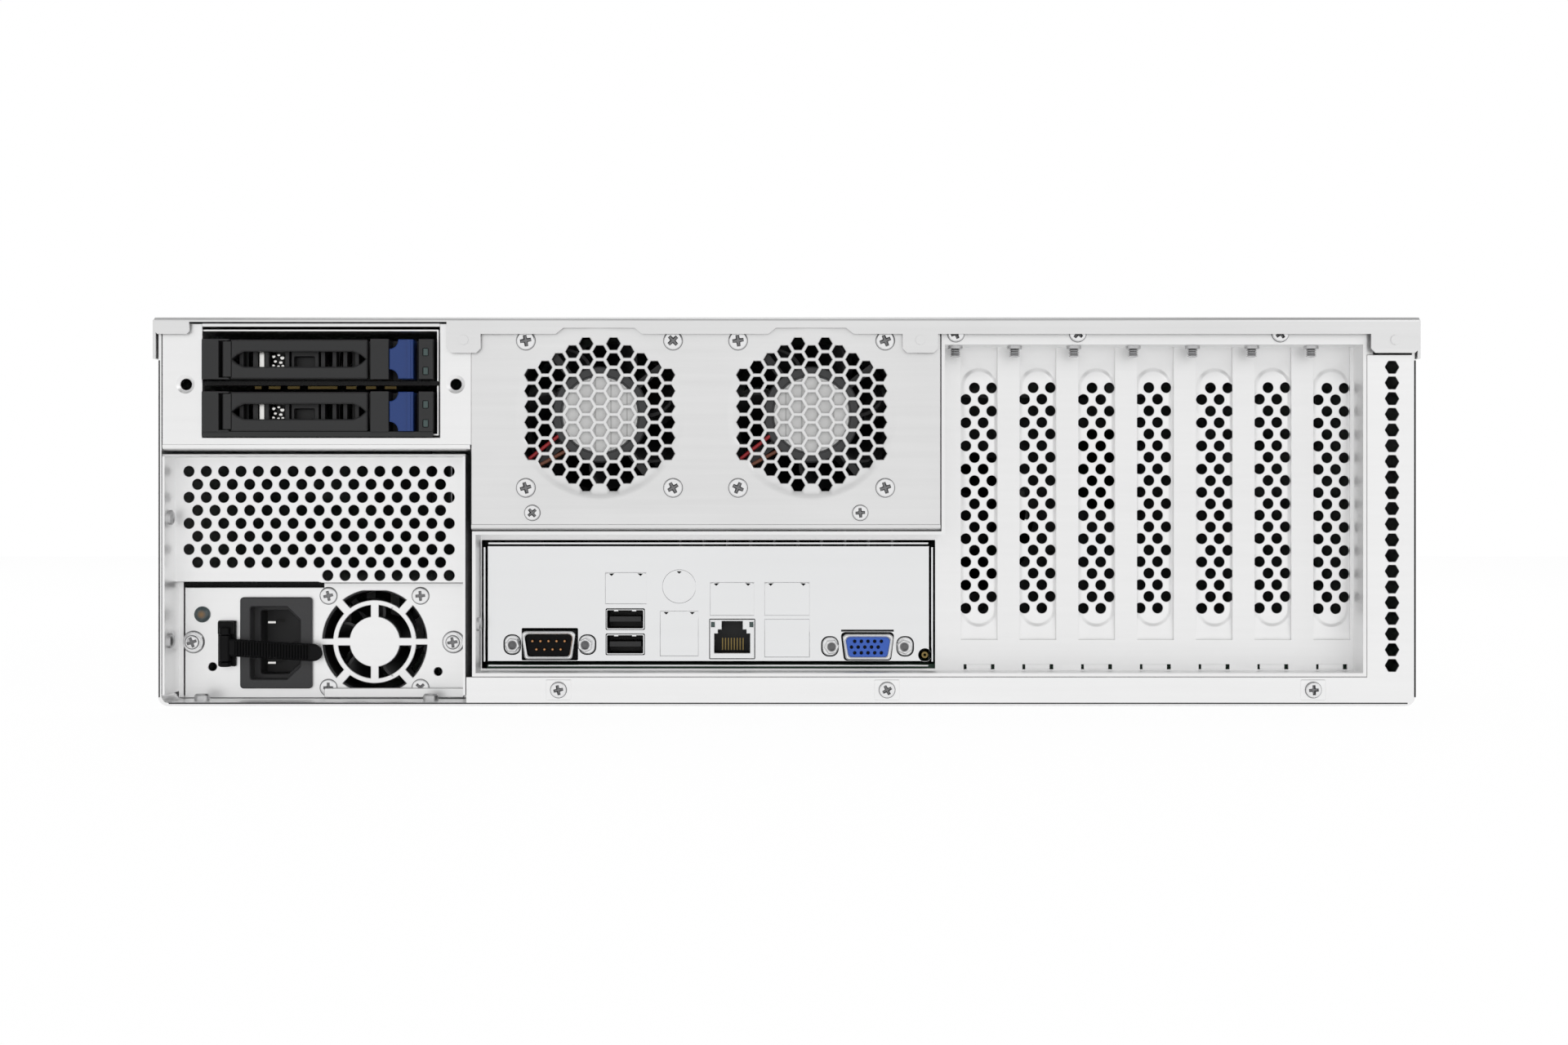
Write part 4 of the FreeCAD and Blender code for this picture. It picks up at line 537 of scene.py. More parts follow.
SLOT_FIRST = 60.2
SLOT_PITCH = 20.32
SLOT_WIDTH = 12.7
COVER_FACE = REAR + 14.25
COVER_HALF = 9.2
COVER_FOOT = 10.6
COVER_TOP = 125.0
EMBOSS_LOW, EMBOSS_HIGH = 32.5, 109.6
EMBOSS_RADIUS = 6.4
EMBOSS_SHOULDER = 1.5
EMBOSS_STAND = 0.8
COVER_SHIFTS = ((0, 0), (0, 0.1), (0.05, 0), (-0.6, 0.1), (0.4, 0), (0, 0.1), (0.05, -0.1))
cover_parts = []
for i, (dx, dz) in enumerate(COVER_SHIFTS):
    middle = SLOT_FIRST + i * SLOT_PITCH + SLOT_WIDTH / 2
    holes = []
    for row in range(20):
        start = -1.55 if row % 2 == 0 else -4.55
        holes += [ring(middle + dx + start + k * 6.0, 109.0 + dz - row * 4.016, 1.84, 28) for k in (0, 1)]

    def emboss(x, z, xc=middle + dx, low=EMBOSS_LOW + dz, high=EMBOSS_HIGH + dz):
        """Raised panel with round ends and a soft shoulder."""
        away = math.hypot(x - xc, z - min(high, max(low, z)))
        return -EMBOSS_STAND * eased(away, EMBOSS_RADIUS, EMBOSS_SHOULDER)

    shoulder = []
    for reach in (6.5, 6.0, 5.6, 5.2, 4.8):
        for k in range(25):
            a = math.pi * k / 24
            shoulder.append((middle + dx + reach * math.cos(a), EMBOSS_HIGH + dz + reach * math.sin(a)))
            shoulder.append((middle + dx - reach * math.cos(a), EMBOSS_LOW + dz - reach * math.sin(a)))
        shoulder += [(middle + dx + s * reach, 34.0 + dz + 4.0 * k) for s in (-1, 1) for k in range(19)]
    outline = [(-COVER_HALF, 20.0), (-4.3, 15.5), (-4.3, COVER_FOOT), (4.3, COVER_FOOT), (4.3, 15.5),
               (COVER_HALF, 20.0), (COVER_HALF, COVER_TOP), (-COVER_HALF, COVER_TOP)]
    cover_parts.append(plate([(middle + x, z) for x, z in outline], holes, COVER_FACE, COVER_FACE + 0.8, 0.12,
                             clear_of(holes, shoulder, 2.2), emboss))
    cover_parts.append(block(middle - 6.6, middle + COVER_HALF, COVER_FACE - 11.0, COVER_FACE,
                             124.15, COVER_TOP))
piece("slot_cover_plates", cover_parts, zinc, ["slot_covers"])

THREAD_PITCH = 0.62
stub = [(0, 118.9), (1.0, 119.0)]
for k in range(4):
    stub += [(r, z + k * THREAD_PITCH) for r, z in ((1.75, 119.35), (1.75, 119.5), (1.15, 119.75))]
stub += [(1.8, 121.7), (2.55, 121.9), (2.55, 122.9)]
stub_head = [(2.6, 125.05), (2.6, 126.2), (2.0, 126.7), (0, 126.75)]
stub_parts = []
for i in range(7):
    for profile in (stub, stub_head):
        stub_parts.append(turned(SLOT_FIRST + i * SLOT_PITCH - 2.4, REAR + 6.5, profile, 28, True))
dull = coated("dull_steel", zinc_bloom, (0.58, 0.58, 0.585), 0.12, 0.34, 0.08, 1.0, 0.2)
piece("slot_screw_points", stub_parts, dull, ["slot_screws"])


# Supply bracket: thin coated sheet with rows of round vents, folded to a top lip and two cheeks.
# The lowest row of vents stops where the supply's inlet face begins. Screws hold the cheeks and the floor.

BRACKET_LEFT, BRACKET_RIGHT = -212.2, -109.2
BRACKET_TOP = 85.7
LIP_UNDER = 84.9
VENT_FACE = REAR + 13.0
VENT_RADIUS = 1.88
VENT_PITCH = 6.0
VENT_ROW = 4.5
vents = []
for row in range(9):
    count, start = (16, -206.7) if row % 2 == 0 else (15, -203.7)
    for k in range(count):
        if row < 8 or k >= 8:
            vents.append(ring(start + k * VENT_PITCH, 80.1 - VENT_ROW * row, VENT_RADIUS, 28))
bracket_outline = [(BRACKET_LEFT, 41.9), (-162.0, 41.9), (-160.8, 41.55), (BRACKET_RIGHT, 41.55),
                   (BRACKET_RIGHT, BRACKET_TOP), (BRACKET_LEFT, BRACKET_TOP)]
lip_profile = [(REAR + 13.8, BRACKET_TOP), (REAR + 0.5, BRACKET_TOP), (REAR, 85.4), (REAR + 0.5, LIP_UNDER),
               (REAR + 13.8, LIP_UNDER)]
piece("supply_vent_bracket", [
    plate(bracket_outline, vents, VENT_FACE, VENT_FACE + 0.8, 0.14),
    swept(lip_profile, BRACKET_LEFT, BRACKET_RIGHT),
    block(BRACKET_LEFT, -211.4, REAR, REAR + 18.4, 3.7, LIP_UNDER),
    block(-110.0, BRACKET_RIGHT, REAR, REAR + 17, 3.7, LIP_UNDER),
    block(-211.4, -209.75, REAR + 17.6, REAR + 18.4, 1.6, 42.6),
    plate(oblong(-160.6, -112.0, 1.6, 4.9, 0.5, 3), [], REAR + 16.2, REAR + 17.0, 0.25),
], zinc, ["supply_bracket"])


def sideways(part):
    """Part about an axis along Y, laid along X."""
    return [(y, x, z) for x, y, z in part[0]], part[1]


left_head = [(0, -209.9), (1.9, -210.0), (2.6, -210.5), (2.6, -211.4)]
right_head = [(0, -104.3), (1.7, -104.4), (2.4, -104.9), (2.4, -105.7)]
floor_head = [(2.6, 1.2), (2.6, 2.9), (2.1, 3.5), (0, 3.7)]
bay_screws = [sideways(turned(REAR + 6, z, left_head, 24)) for z in (64.1, 21.9)]
bay_screws.append(sideways(turned(REAR + 5, 27.6, right_head, 24)))
bay_screws += [turned(x, REAR + 9, floor_head, 24, True) for x in (-201.0, -122.4)]
piece("bay_side_screws", bay_screws, dull)


# Power supply: a sheet steel box that slides in below the bracket; its rear face has a punched fan guard.
# The guard is a hub on four spokes, a ring, and ribs out to the rim, cut flat above and below.
# A foam strip seals the slit above the face, and a 40 mm fan sits behind the guard.

SUPPLY_FACE = REAR + 18.0
SUPPLY_FAN = (-143.4, 20.9)


def wedge(inner, outer, start, end, start_rib, end_rib, under, over):
    """Guard opening between two ribs of given width; angles in degrees, outline cut flat below and above."""
    points = []
    for radius, order in ((outer, 1), (inner, -1)):
        first = math.radians(start) + math.asin(start_rib / 2 / radius)
        last = math.radians(end) - math.asin(end_rib / 2 / radius)
        steps = max(4, round((last - first) * radius / 0.8))
        arc = []
        for k in range(steps + 1):
            a = first + (last - first) * k / steps
            z = max(-under, min(over, radius * math.sin(a)))
            arc.append((SUPPLY_FAN[0] + radius * math.cos(a), SUPPLY_FAN[1] + z))
        points += arc[::order]
    return points


UNCUT = 99
HUB_OPENINGS = (8.8, 12.8)
RIM_OPENINGS = (14.5, 18.3)
RIM_RIBS = ((0, 48), (48, 132), (132, 180), (180, 228), (228, 312), (312, 360))
guard = [wedge(*HUB_OPENINGS, a, a + 90, 2.8, 2.8, UNCUT, UNCUT) for a in (0, 90, 180, 270)]
for start, end in RIM_RIBS:
    start_rib, end_rib = [2.2 if a % 180 == 0 else 3.0 for a in (start, end)]
    guard.append(wedge(*RIM_OPENINGS, start, end, start_rib, end_rib, 16.6, 17.8))
face_holes = guard + [oblong(-188.3, -166.5, 6.3, 34.7)]
face_holes += [ring(x, z, 1.45, 28) for x, z in ((-199.8, 12.2), (-121.3, 10.5))]
face_outline = [(-209.4, 1.4), (-111.0, 1.4), (-111.0, 41.4), (-161.0, 41.4), (-161.0, 39.8), (-209.4, 39.8)]
SUPPLY_END = SUPPLY_FACE + 240
rear_slots = [oblong(-199 + i * 11, -192 + i * 11, 10, 33, 2.0) for i in range(7)]
piece("supply_case", [
    plate(face_outline, face_holes, SUPPLY_FACE, SUPPLY_FACE + 0.8, 0.18),
    plate(oblong(-210.2, -111.8, 2.2, 40.6), rear_slots, SUPPLY_FACE + 239.2, SUPPLY_END, 0.1),
    block(-211.0, -210.2, SUPPLY_FACE + 0.8, SUPPLY_END, 1.4, 40.6),
    block(-111.8, -111.0, SUPPLY_FACE + 0.8, SUPPLY_END, 1.4, 41.4),
    block(-210.2, -111.8, SUPPLY_FACE + 0.8, SUPPLY_END, 1.4, 2.2),
    block(-210.2, -111.8, SUPPLY_FACE + 22.0, SUPPLY_END, 40.6, 41.4),
], zinc, ["supply_housing"])
foam = coated("black_foam", grain, (0.008, 0.008, 0.0085), 0.4, 0.85, 0.05, 0.0, 1.0, 0.0006)
piece("supply_gasket", [block(-209.7, -160.9, SUPPLY_FACE + 1.2, SUPPLY_FACE + 4.0, 39.2, 42.8)],
      foam, edge=0.4)

xc, zc = SUPPLY_FAN
motor = [(0, 15.6), (9.0, 15.6), (9.0, 20.6), (0, 20.6)]
strut = block(xc + 8, xc + 18, SUPPLY_FACE + 17.6, SUPPLY_FACE + 20.4, zc - 1.2, zc + 1.2)
supply_frame = [plate(oblong(xc - 18.6, xc + 18.6, zc - 18.6, zc + 18.6, 2.0), [ring(xc, zc, 17.6, 60)],
                      SUPPLY_FACE + 1.0, SUPPLY_FACE + 21.0, 0.3),
                turned(xc, zc, motor, 40, face=SUPPLY_FACE)]
supply_frame += [spun(strut, xc, zc, a) for a in STRUT_ANGLES]
piece("supply_fan_housing", supply_frame, black, ["supply_fan_frame"], 0.2, 1)
hub = [(0, 2.0), (8.4, 2.0), (9.0, 2.6), (9.0, 15.0), (0, 15.0)]
supply_rotor = [turned(xc, zc, hub, 40, face=SUPPLY_FACE)]
supply_rotor += [blade(xc, zc, 8.6, 14.9, SUPPLY_FACE + 2.6, SUPPLY_FACE + 14.4, 72 * i, 48, 1.0)
                 for i in range(5)]
piece("supply_blades", supply_rotor, black, ["supply_fan_rotor"], body="supply_fan")


# Mains inlet: a black moulded flange and deep cavity with two bevelled corners, snapped into the face.
# Three nickel-plated blades stand in it.

inlet_black = coated("inlet_plastic", grain, (0.040, 0.040, 0.042), 0.22, 0.48, 0.06, 0.0, 0.3)
inlet_cavity = rounded([(-186.4, 7.9, 0.8), (-173.6, 7.9, 0.6), (-169.0, 12.4, 0.6), (-169.0, 28.6, 0.6),
                        (-173.6, 33.1, 0.6), (-186.4, 33.1, 0.8)], 3)
inlet_liner = rounded([(-184.2, 9.4, 0.8), (-174.6, 9.4, 0.6), (-170.6, 13.2, 0.6), (-170.6, 27.8, 0.6),
                       (-174.6, 31.6, 0.6), (-184.2, 31.6, 0.8)], 3)
piece("inlet_body", [
    plate(oblong(-189.9, -164.9, 4.7, 36.4, 1.2), [inlet_cavity], SUPPLY_FACE - 1.6, SUPPLY_FACE, 0.35),
    plate(oblong(-188.2, -166.6, 6.4, 34.6), [inlet_cavity], SUPPLY_FACE, SUPPLY_FACE + 5.0, 0.02),
    plate(oblong(-188.2, -166.6, 6.4, 34.6), [inlet_liner], SUPPLY_FACE + 5.0, SUPPLY_FACE + 15.0, 0.3),
    block(-188.2, -166.6, SUPPLY_FACE + 15.0, SUPPLY_FACE + 21.0, 6.4, 34.6),
], inlet_black, ["inlet_socket"], smooth=30)
nickel = coated("nickel_plate", zinc_bloom, (0.80, 0.79, 0.77), 0.08, 0.24, 0.06, 1.0, 0.1)
piece("inlet_blades", [block(x, x + 2.9, SUPPLY_FACE + 1.2, SUPPLY_FACE + 15.2, z, z + 1.0)
                       for x, z in ((-180.9, 27.1), (-180.9, 13.0), (-176.3, 19.4))],
      nickel, ["inlet_pins"], 0.25)


# Cord clip and strap: a black nylon clip pinned to the face, and a toothed strap that folds over the plug.
# The strap turns on the clip's pin; fine teeth run along most of its length.

nylon = coated("black_nylon", grain, (0.004, 0.004, 0.0045), 0.3, 0.42, 0.06, 0.0, 0.2)
nylon.node_tree.nodes["Principled BSDF"].inputs["Specular IOR Level"].default_value = 0.12
STRAP_PIN = (-194.6, SUPPLY_FACE - 3.6)
clip_axle = [(0, 12.4), (1.9, 12.4), (1.9, 14.0), (0.75, 14.0), (0.75, 23.4), (1.9, 23.4),
             (1.9, 26.0), (0, 26.0)]
piece("cord_clip_body", [
    block(-197.6, -191.4, SUPPLY_FACE - 1.4, SUPPLY_FACE, 12.4, 28.3),
    block(-197.2, -191.8, SUPPLY_FACE - 3.4, SUPPLY_FACE - 1.4, 23.6, 28.0),
    block(-196.6, -192.6, SUPPLY_FACE - 3.4, SUPPLY_FACE - 1.4, 12.4, 14.0),
    turned(*STRAP_PIN, clip_axle, 28, True),
], nylon, ["cord_clip"], 0.35)
STRAP_START = -193.0
STRAP_LENGTH = 32.1
STRAP_HALF = 3.0
STRAP_TIP = 3.1
STRAP_BOW = 0.9
STRAP_STEPS = 64
TOOTH = 0.45
strap_verts, strap_faces = [], []
for k in range(STRAP_STEPS + 1):
    t = k / STRAP_STEPS
    x = STRAP_START + STRAP_LENGTH * t
    y = STRAP_PIN[1] - STRAP_BOW * math.sin(math.pi * t)
    middle = 19.1 - 1.9 * t
    tip = max(0.0, (x + 164.0) / STRAP_TIP)
    half = STRAP_HALF * math.sqrt(max(0.02, 1 - tip * tip))
    crest = -0.8 - (TOOTH if 4 < k < 56 and k % 2 else 0.0)
    inner = half * 0.78
    section = ((-0.5, -half), (crest, -inner), (crest, inner), (-0.5, half), (0.6, half), (0.6, -half))
    strap_verts += [(x, y + dy, middle + dz) for dy, dz in section]
for start in range(0, 6 * STRAP_STEPS, 6):
    for i in range(6):
        j = (i + 1) % 6
        strap_faces.append([start + i, start + j, start + 6 + j, start + 6 + i])
strap_faces += [list(range(6)), list(range(6 * STRAP_STEPS, 6 * STRAP_STEPS + 6))]
eye = turned(*STRAP_PIN, [(0.85, 14.4), (1.9, 14.4), (1.9, 23.2), (0.85, 23.2)], 28, True)
piece("cord_strap_band", [(strap_verts, strap_faces), eye], nylon, ["cord_strap"], smooth=20,
      body="strap")


# Supply lamp and screws: a frosted lens pushed into the face, with an amber diode behind its middle.
# Two flanged hexagon heads hold the supply in the case, and four flat heads its fan; all are plated steel.

LAMP = (-203.3, 30.4)
lens = coated("lamp_lens", grain, (0.075, 0.10, 0.105), 0.2, 0.22, 0.04, 0.0, 0.05)
lens_tree = lens.node_tree
lens_colour = lens_tree.nodes["Principled BSDF"].inputs["Base Color"]
diode = node(lens_tree, "VectorMath", {0: node(lens_tree, "TexCoord").outputs["Object"],
                                       1: (LAMP[0] / 1000, (SUPPLY_FACE - 1.6) / 1000, LAMP[1] / 1000)},
             operation="DISTANCE")
fade = node(lens_tree, "MapRange", {"Value": diode.outputs["Value"], "From Min": 0.0004, "From Max": 0.0017})
amber = node(lens_tree, "Mix", {0: fade.outputs["Result"], 6: (0.26, 0.15, 0.06, 1.0),
                                7: lens_colour.links[0].from_socket}, data_type="RGBA")
lens_tree.links.new(amber.outputs[2], lens_colour)
dome = [(0, -1.6), (1.2, -1.5), (2.1, -1.1), (2.5, -0.5), (2.8, -0.4), (2.8, 0.0)]
piece("supply_lamp_lens", [turned(*LAMP, dome, 40, face=SUPPLY_FACE)], lens, ["supply_lamp"])

head_flange = [(0, -0.6), (3.4, -0.6), (3.7, -0.3), (3.7, 0.0)]
# A thin ring round each hexagon flange, dark like the cross recesses, is painted shade.
flange_shade = [(3.0, -0.1), (3.95, -0.1), (3.95, 0.0)]
head_parts = []
head_recesses = []
for (x, z), turn in (((-206.4, 20.8), 20), ((-115.9, 20.8), 8)):
    head_parts.append(turned(x, z, head_flange, 36, face=SUPPLY_FACE))
    corners = ring(x, z, 3.1, 6, math.radians(turn))
    sides = [[i, (i + 1) % 6, 6 + (i + 1) % 6, 6 + i] for i in range(6)]
    head_parts.append(([(px, SUPPLY_FACE - h, pz) for h in (0.5, 2.0) for px, pz in corners],
                       sides + [list(range(6, 12))]))
    head, recess = cross_head(x, z, 2.3, SUPPLY_FACE - 2.0, 0.6, turn, 0.76, 0.2)
    head_parts.append(head)
    head_recesses += [recess, turned(x, z, flange_shade, face=SUPPLY_FACE)]
for (sx, sz), turn in (((-1, 1), 12), ((1, 1), 4), ((-1, -1), 0), ((1, -1), 45)):
    head, recess = cross_head(xc + sx * 16, zc + sz * 16, 2.9, SUPPLY_FACE, 0.7, turn, 0.58, 0.15)
    head_parts.append(head)
    head_recesses.append(recess)
piece("supply_screw_heads", head_parts, bright, ["supply_screws"], smooth=40)
piece("supply_screw_recesses", head_recesses, recess_shade)


# Rear drive bay: a coated plate with two dimpled holes, folded inwards below, screwed on before a sheet cage.
# The cage is a folded box with a shelf between the trays; a foam strip lies along the shelf's edge.
# Behind the trays, the contact strips of the backplane's sockets catch the light.

BAY_HOLES_X = (-204.3, -112.5)
BAY_HOLES_Z = 109.4
BAY_FOLD = 88.8


def dimple(x, z):
    """Shallow pressed ring round each of the plate's two holes."""
    return 0.8 * eased(min(math.hypot(x - xh, z - BAY_HOLES_Z) for xh in BAY_HOLES_X), 3.2, 1.0)


bay_outline = [(-212.2, BAY_FOLD), (-107.23, BAY_FOLD), (-107.23, PLATE_TOP), (-117.9, PLATE_TOP),
               (-117.9, 91.3), (-198.6, 91.3), (-198.6, PLATE_TOP), (-212.2, PLATE_TOP)]
bay_holes = [ring(xh, BAY_HOLES_Z, 1.95, 32) for xh in BAY_HOLES_X]
bay_rings = [p for xh in BAY_HOLES_X for r in (2.2, 2.7, 3.2, 3.6) for p in ring(xh, BAY_HOLES_Z, r, 32)]
piece("bay_plate", [
    plate(bay_outline, bay_holes, REAR, REAR + 1.0, 0.2, bay_rings, dimple),
    folded_lip(BAY_FOLD, -212.2, -107.6),
    block(-198.6, -117.9, REAR, REAR + 1.2, 129.0, PLATE_TOP),
], zinc, ["drive_bay_plate"])
dressed("rear_drive_cage", zinc, 0.25)
brass = coated("contact_brass", zinc_bloom, (0.24, 0.175, 0.065), 0.2, 0.34, 0.08, 0.9, 0.2)
STRIPS = ((-183.9, 2.4), (-179.1, 4.2), (-172.5, 4.2), (-165.5, 10.2), (-152.3, 3.6), (-145.5, 3.6),
          (-138.9, 4.0))
piece("bay_contact_strips", [block(x, x + w, REAR + 12.9, REAR + 13.25, 108.5, 109.6) for x, w in STRIPS],
      brass, edge=0.08, steps=1)
piece("bay_shelf_gasket", [block(-198.2, -118.4, REAR + 0.4, REAR + 1.3, 109.0, 110.5)],
      foam, edge=0.2)


# Rear drive trays: charcoal mouldings with end blocks, a ribbed well behind the lever and two side rails.
# The lever is a flat pull with a long pointed window; a blue sprung key with hollow corners locks it.

charcoal = coated("charcoal_plastic", grain, (0.019, 0.0193, 0.0202), 0.2, 0.5, 0.05, 0.0, 0.35)
blue = coated("blue_plastic", grain, (0.012, 0.050, 0.225), 0.16, 0.42, 0.05, 0.0, 0.25)
window_green = coated("light_pipe", grain, (0.06, 0.10, 0.095), 0.25, 0.25, 0.05, 0.0, 0.05)
TRAY_LEFT, TRAY_RIGHT = -198.3, -120.0
TRAY_HEIGHT = 13.7
TRAY_BACK = REAR + 7.0
RAIL_END = REAR + 128
LEVER_FRONT = REAR - 1.5
LEVER_BACK = REAR + 1.3
LEVER_AXIS = (-190.3, REAR - 0.1)
WINDOW_ENDS = (-188.3, -142.8)
WINDOW_POINT = ((1.7, 1.5), (4.2, 2.6))
RIBS_X = (-186.6, -182.0, -178.0, -171.0, -158.8, -154.9, -151.2, -147.2)
COIL_ENDS = ((-1.5, 1.4, 0.7), (0.3, 1.9, 0.55), (1.5, 0.9, 0.75), (-0.9, -0.4, 0.6), (1.0, -0.8, 0.65),
             (-1.6, -1.9, 0.6), (0.2, -2.1, 0.5), (1.7, -2.0, 0.55))
for place, low in (("upper", 111.0), ("lower", 93.2)):
    high = low + TRAY_HEIGHT
    middle = low + 6.85
    light_frames = [oblong(-123.4, -121.6, low + z, low + z + 2.5, 0.3, 2) for z in (1.6, 8.0)]
    well_slots = [oblong(-189.5 + k * 5.2, -185.6 + k * 5.2, low + 4.0, high - 4.0, 0.4, 2)
                  for k in (0, 1, 2, 6, 7, 8)]
    tray = [block(TRAY_LEFT, -192.7, LEVER_FRONT, TRAY_BACK + 1, low, high),
            block(-141.2, -135.0, LEVER_FRONT, TRAY_BACK + 1, low, high),
            plate(oblong(-124.9, TRAY_RIGHT, low, high), light_frames, LEVER_FRONT, TRAY_BACK + 1, 0.2),
            plate(oblong(TRAY_LEFT, TRAY_RIGHT, low, high), well_slots, TRAY_BACK, TRAY_BACK + 2, 0.2),
            plate(oblong(-169.2, -159.6, low + 3.6, high - 3.6),
                  [oblong(-168.0, -161.2, low + 4.6, low + 8.0, 0.3, 2)], REAR + 3.4, TRAY_BACK, 0.2),
            block(TRAY_LEFT, -195.9, TRAY_BACK + 2, RAIL_END, low, low + 9),
            block(-122.4, TRAY_RIGHT, TRAY_BACK + 2, RAIL_END, low, low + 9),
            block(-195.9, -122.4, REAR + 122, RAIL_END, low, low + 2)]
    for z0, z1 in ((low, low + 0.6), (high - 0.6, high)):
        tray.append(block(-193.2, -190.3, LEVER_FRONT + 0.1, REAR + 1.2, z0, z1))
        tray.append(turned(*LEVER_AXIS, [(0, z0), (1.3, z0), (1.3, z1), (0, z1)], 24, True))
    tray.append(turned(*LEVER_AXIS, [(0.65, low + 0.4), (0.65, high - 0.4)], 20, True))
    if place == "lower":
        tray.append(block(-198.2, -120.1, LEVER_FRONT + 0.6, REAR + 0.9, 91.55, low + 0.1))
    tray += [block(x, x + 1.4, REAR + 2.6, TRAY_BACK, low + 3.4, high - 3.4) for x in RIBS_X]
    piece("rear_tray_body_" + place, tray, charcoal, ["rear_tray_" + place], 0.25,
          body="tray_" + place)
    lights = [block(-123.3, -121.7, LEVER_FRONT + 0.35, LEVER_FRONT + 1.5, low + z, low + z + 2.4)
              for z in (1.65, 8.05)]
    piece("rear_tray_lights_" + place, lights, window_green, edge=0.1, body="tray_" + place)
    spring = [block(-180.3, -178.6, REAR + 4.6, REAR + 4.9, low + 4.0, high - 4.0)]
    spring += [turned(-173.9 + dx, middle + dz, [(0, 4.2), (r, 4.4), (r, 6.8)], 14, face=REAR)
               for dx, dz, r in COIL_ENDS]
    piece("rear_tray_springs_" + place, spring, nickel, edge=0.08, steps=1,
          body="tray_" + place)

    left, right = WINDOW_ENDS
    window = [(left, middle)] + [(left + dx, middle - dz) for dx, dz in WINDOW_POINT]
    window += [(right - dx, middle - dz) for dx, dz in WINDOW_POINT[::-1]] + [(right, middle)]
    window += [(right - dx, middle + dz) for dx, dz in WINDOW_POINT]
    window += [(left + dx, middle + dz) for dx, dz in WINDOW_POINT[::-1]]
    flat_pull = rounded([(-188.6, low + 0.2, 0), (-142.2, low + 0.2, 0.6), (-142.2, high - 0.2, 0.6),
                         (-188.6, high - 0.2, 0)], 3)
    barrel = [(0.72, low + 0.9), (1.4, low + 0.9), (1.4, high - 0.9), (0.72, high - 0.9)]
    pull = [plate(flat_pull, [window], LEVER_FRONT, LEVER_BACK, 0.45),
            block(-190.3, -188.5, LEVER_FRONT, LEVER_BACK, low + 0.9, high - 0.9),
            turned(*LEVER_AXIS, barrel, 24, True)]
    piece("rear_lever_pull_" + place, pull, charcoal, ["rear_lever_" + place],
          body="lever_" + place)
    quarter = [math.pi / 2 * k / 6 for k in range(7)]
    key_outline = [(-126.7, low + 0.2), (-126.7, high - 0.2)]
    key_outline += [(-134.7 + 3.0 * math.cos(a), high - 0.2 - 3.2 * math.sin(a)) for a in quarter]
    key_outline += [(-134.7 + 3.0 * math.cos(a), low + 0.2 + 3.2 * math.sin(a)) for a in quarter[::-1]]
    key = [plate(key_outline, [], LEVER_FRONT - 0.4, TRAY_BACK - 0.4, 0.3),
           block(-128.6, -127.5, LEVER_FRONT - 0.7, LEVER_FRONT, low + 0.3, high - 0.3)]
    piece("rear_latch_key_" + place, key, blue, ["rear_latch_" + place],
          body="latch_" + place)


# Port shield: thin springy tinned plate with a beaded border; knock-outs are left in, outlined by the die.
# It snaps into the frame; the openings fit the board's connectors behind it.

tinned = coated("tinned_plate", zinc_bloom, (0.79, 0.795, 0.80), 0.05, 0.20, 0.06, 1.0, 0.05)
SHIELD_FACE = REAR + 12.4
SHIELD = (-105.3, 51.25, 12.0, 56.25)
KNOCK_OUTS = ((-62.7, -48.3, 34.2, 45.2), (-43.8, -30.4, 16.2, 31.9), (-26.5, -11.1, 30.2, 41.8),
              (-7.7, 8.0, 30.2, 41.8), (-7.7, 8.0, 15.8, 29.1))
ROUND_KNOCK_OUT = (-37.1, 40.3, 5.9)
SERIAL = (-81.8, 20.2, 18.6, 9.6)
VIDEO = (27.95, 19.6, 17.6, 8.8)
ROUND_SOCKET = (47.8, 16.6)
KNOCK_STAND = 0.2
KNOCK_EDGE = 0.22


def connector_cut(xc, zc, width, height):
    """Opening with sides that lean in towards the foot, as round a trapezoid connector."""
    half, rise = width / 2, height / 2
    return rounded([(xc - half + 1.2, zc - rise, 1.2), (xc + half - 1.2, zc - rise, 1.2),
                    (xc + half, zc + rise, 1.4), (xc - half, zc + rise, 1.4)], 4)


def pressed(x, z):
    """Knock-outs, which stand a little proud with steep edges."""
    xr, zr, radius = ROUND_KNOCK_OUT
    inset = radius - math.hypot(x - xr, z - zr)
    for a0, a1, b0, b1 in KNOCK_OUTS:
        inset = max(inset, min(x - a0, a1 - x, z - b0, b1 - z))
    return -KNOCK_STAND * min(1.0, max(0.0, inset / KNOCK_EDGE))


x0, x1, z0, z1 = SHIELD
shield_holes = [oblong(SERIAL[0] - 9.7, SERIAL[0] + 9.7, SERIAL[1] - 5.4, SERIAL[1] + 5.7, 0.4, 3),
                connector_cut(VIDEO[0], VIDEO[1], VIDEO[2] + 1.0, VIDEO[3] + 1.0)]
shield_holes += [oblong(c[0] + 13.0 * s - 3.0, c[0] + 13.0 * s + 3.0, c[1] - 3.5, c[1] + 3.5, 2.6, 6)
                 for c in (SERIAL, VIDEO) for s in (-1, 1)]
shield_holes += [oblong(-62.5, -49.0, z - 0.2, z + 7.2, 0.4, 3) for z in (25.5, 16.8)]
shield_holes += [oblong(-26.7, -10.9, 15.2, 29.1, 0.3, 3), ring(*ROUND_SOCKET, 2.3, 28),
                 oblong(18.9, 37.0, 24.7, 25.35)]
xr, zr, radius = ROUND_KNOCK_OUT
edges = [p for inset in (0.0, KNOCK_EDGE) for p in ring(xr, zr, radius - inset, 56)]
ticks = [(xr, zr + 5.2)]
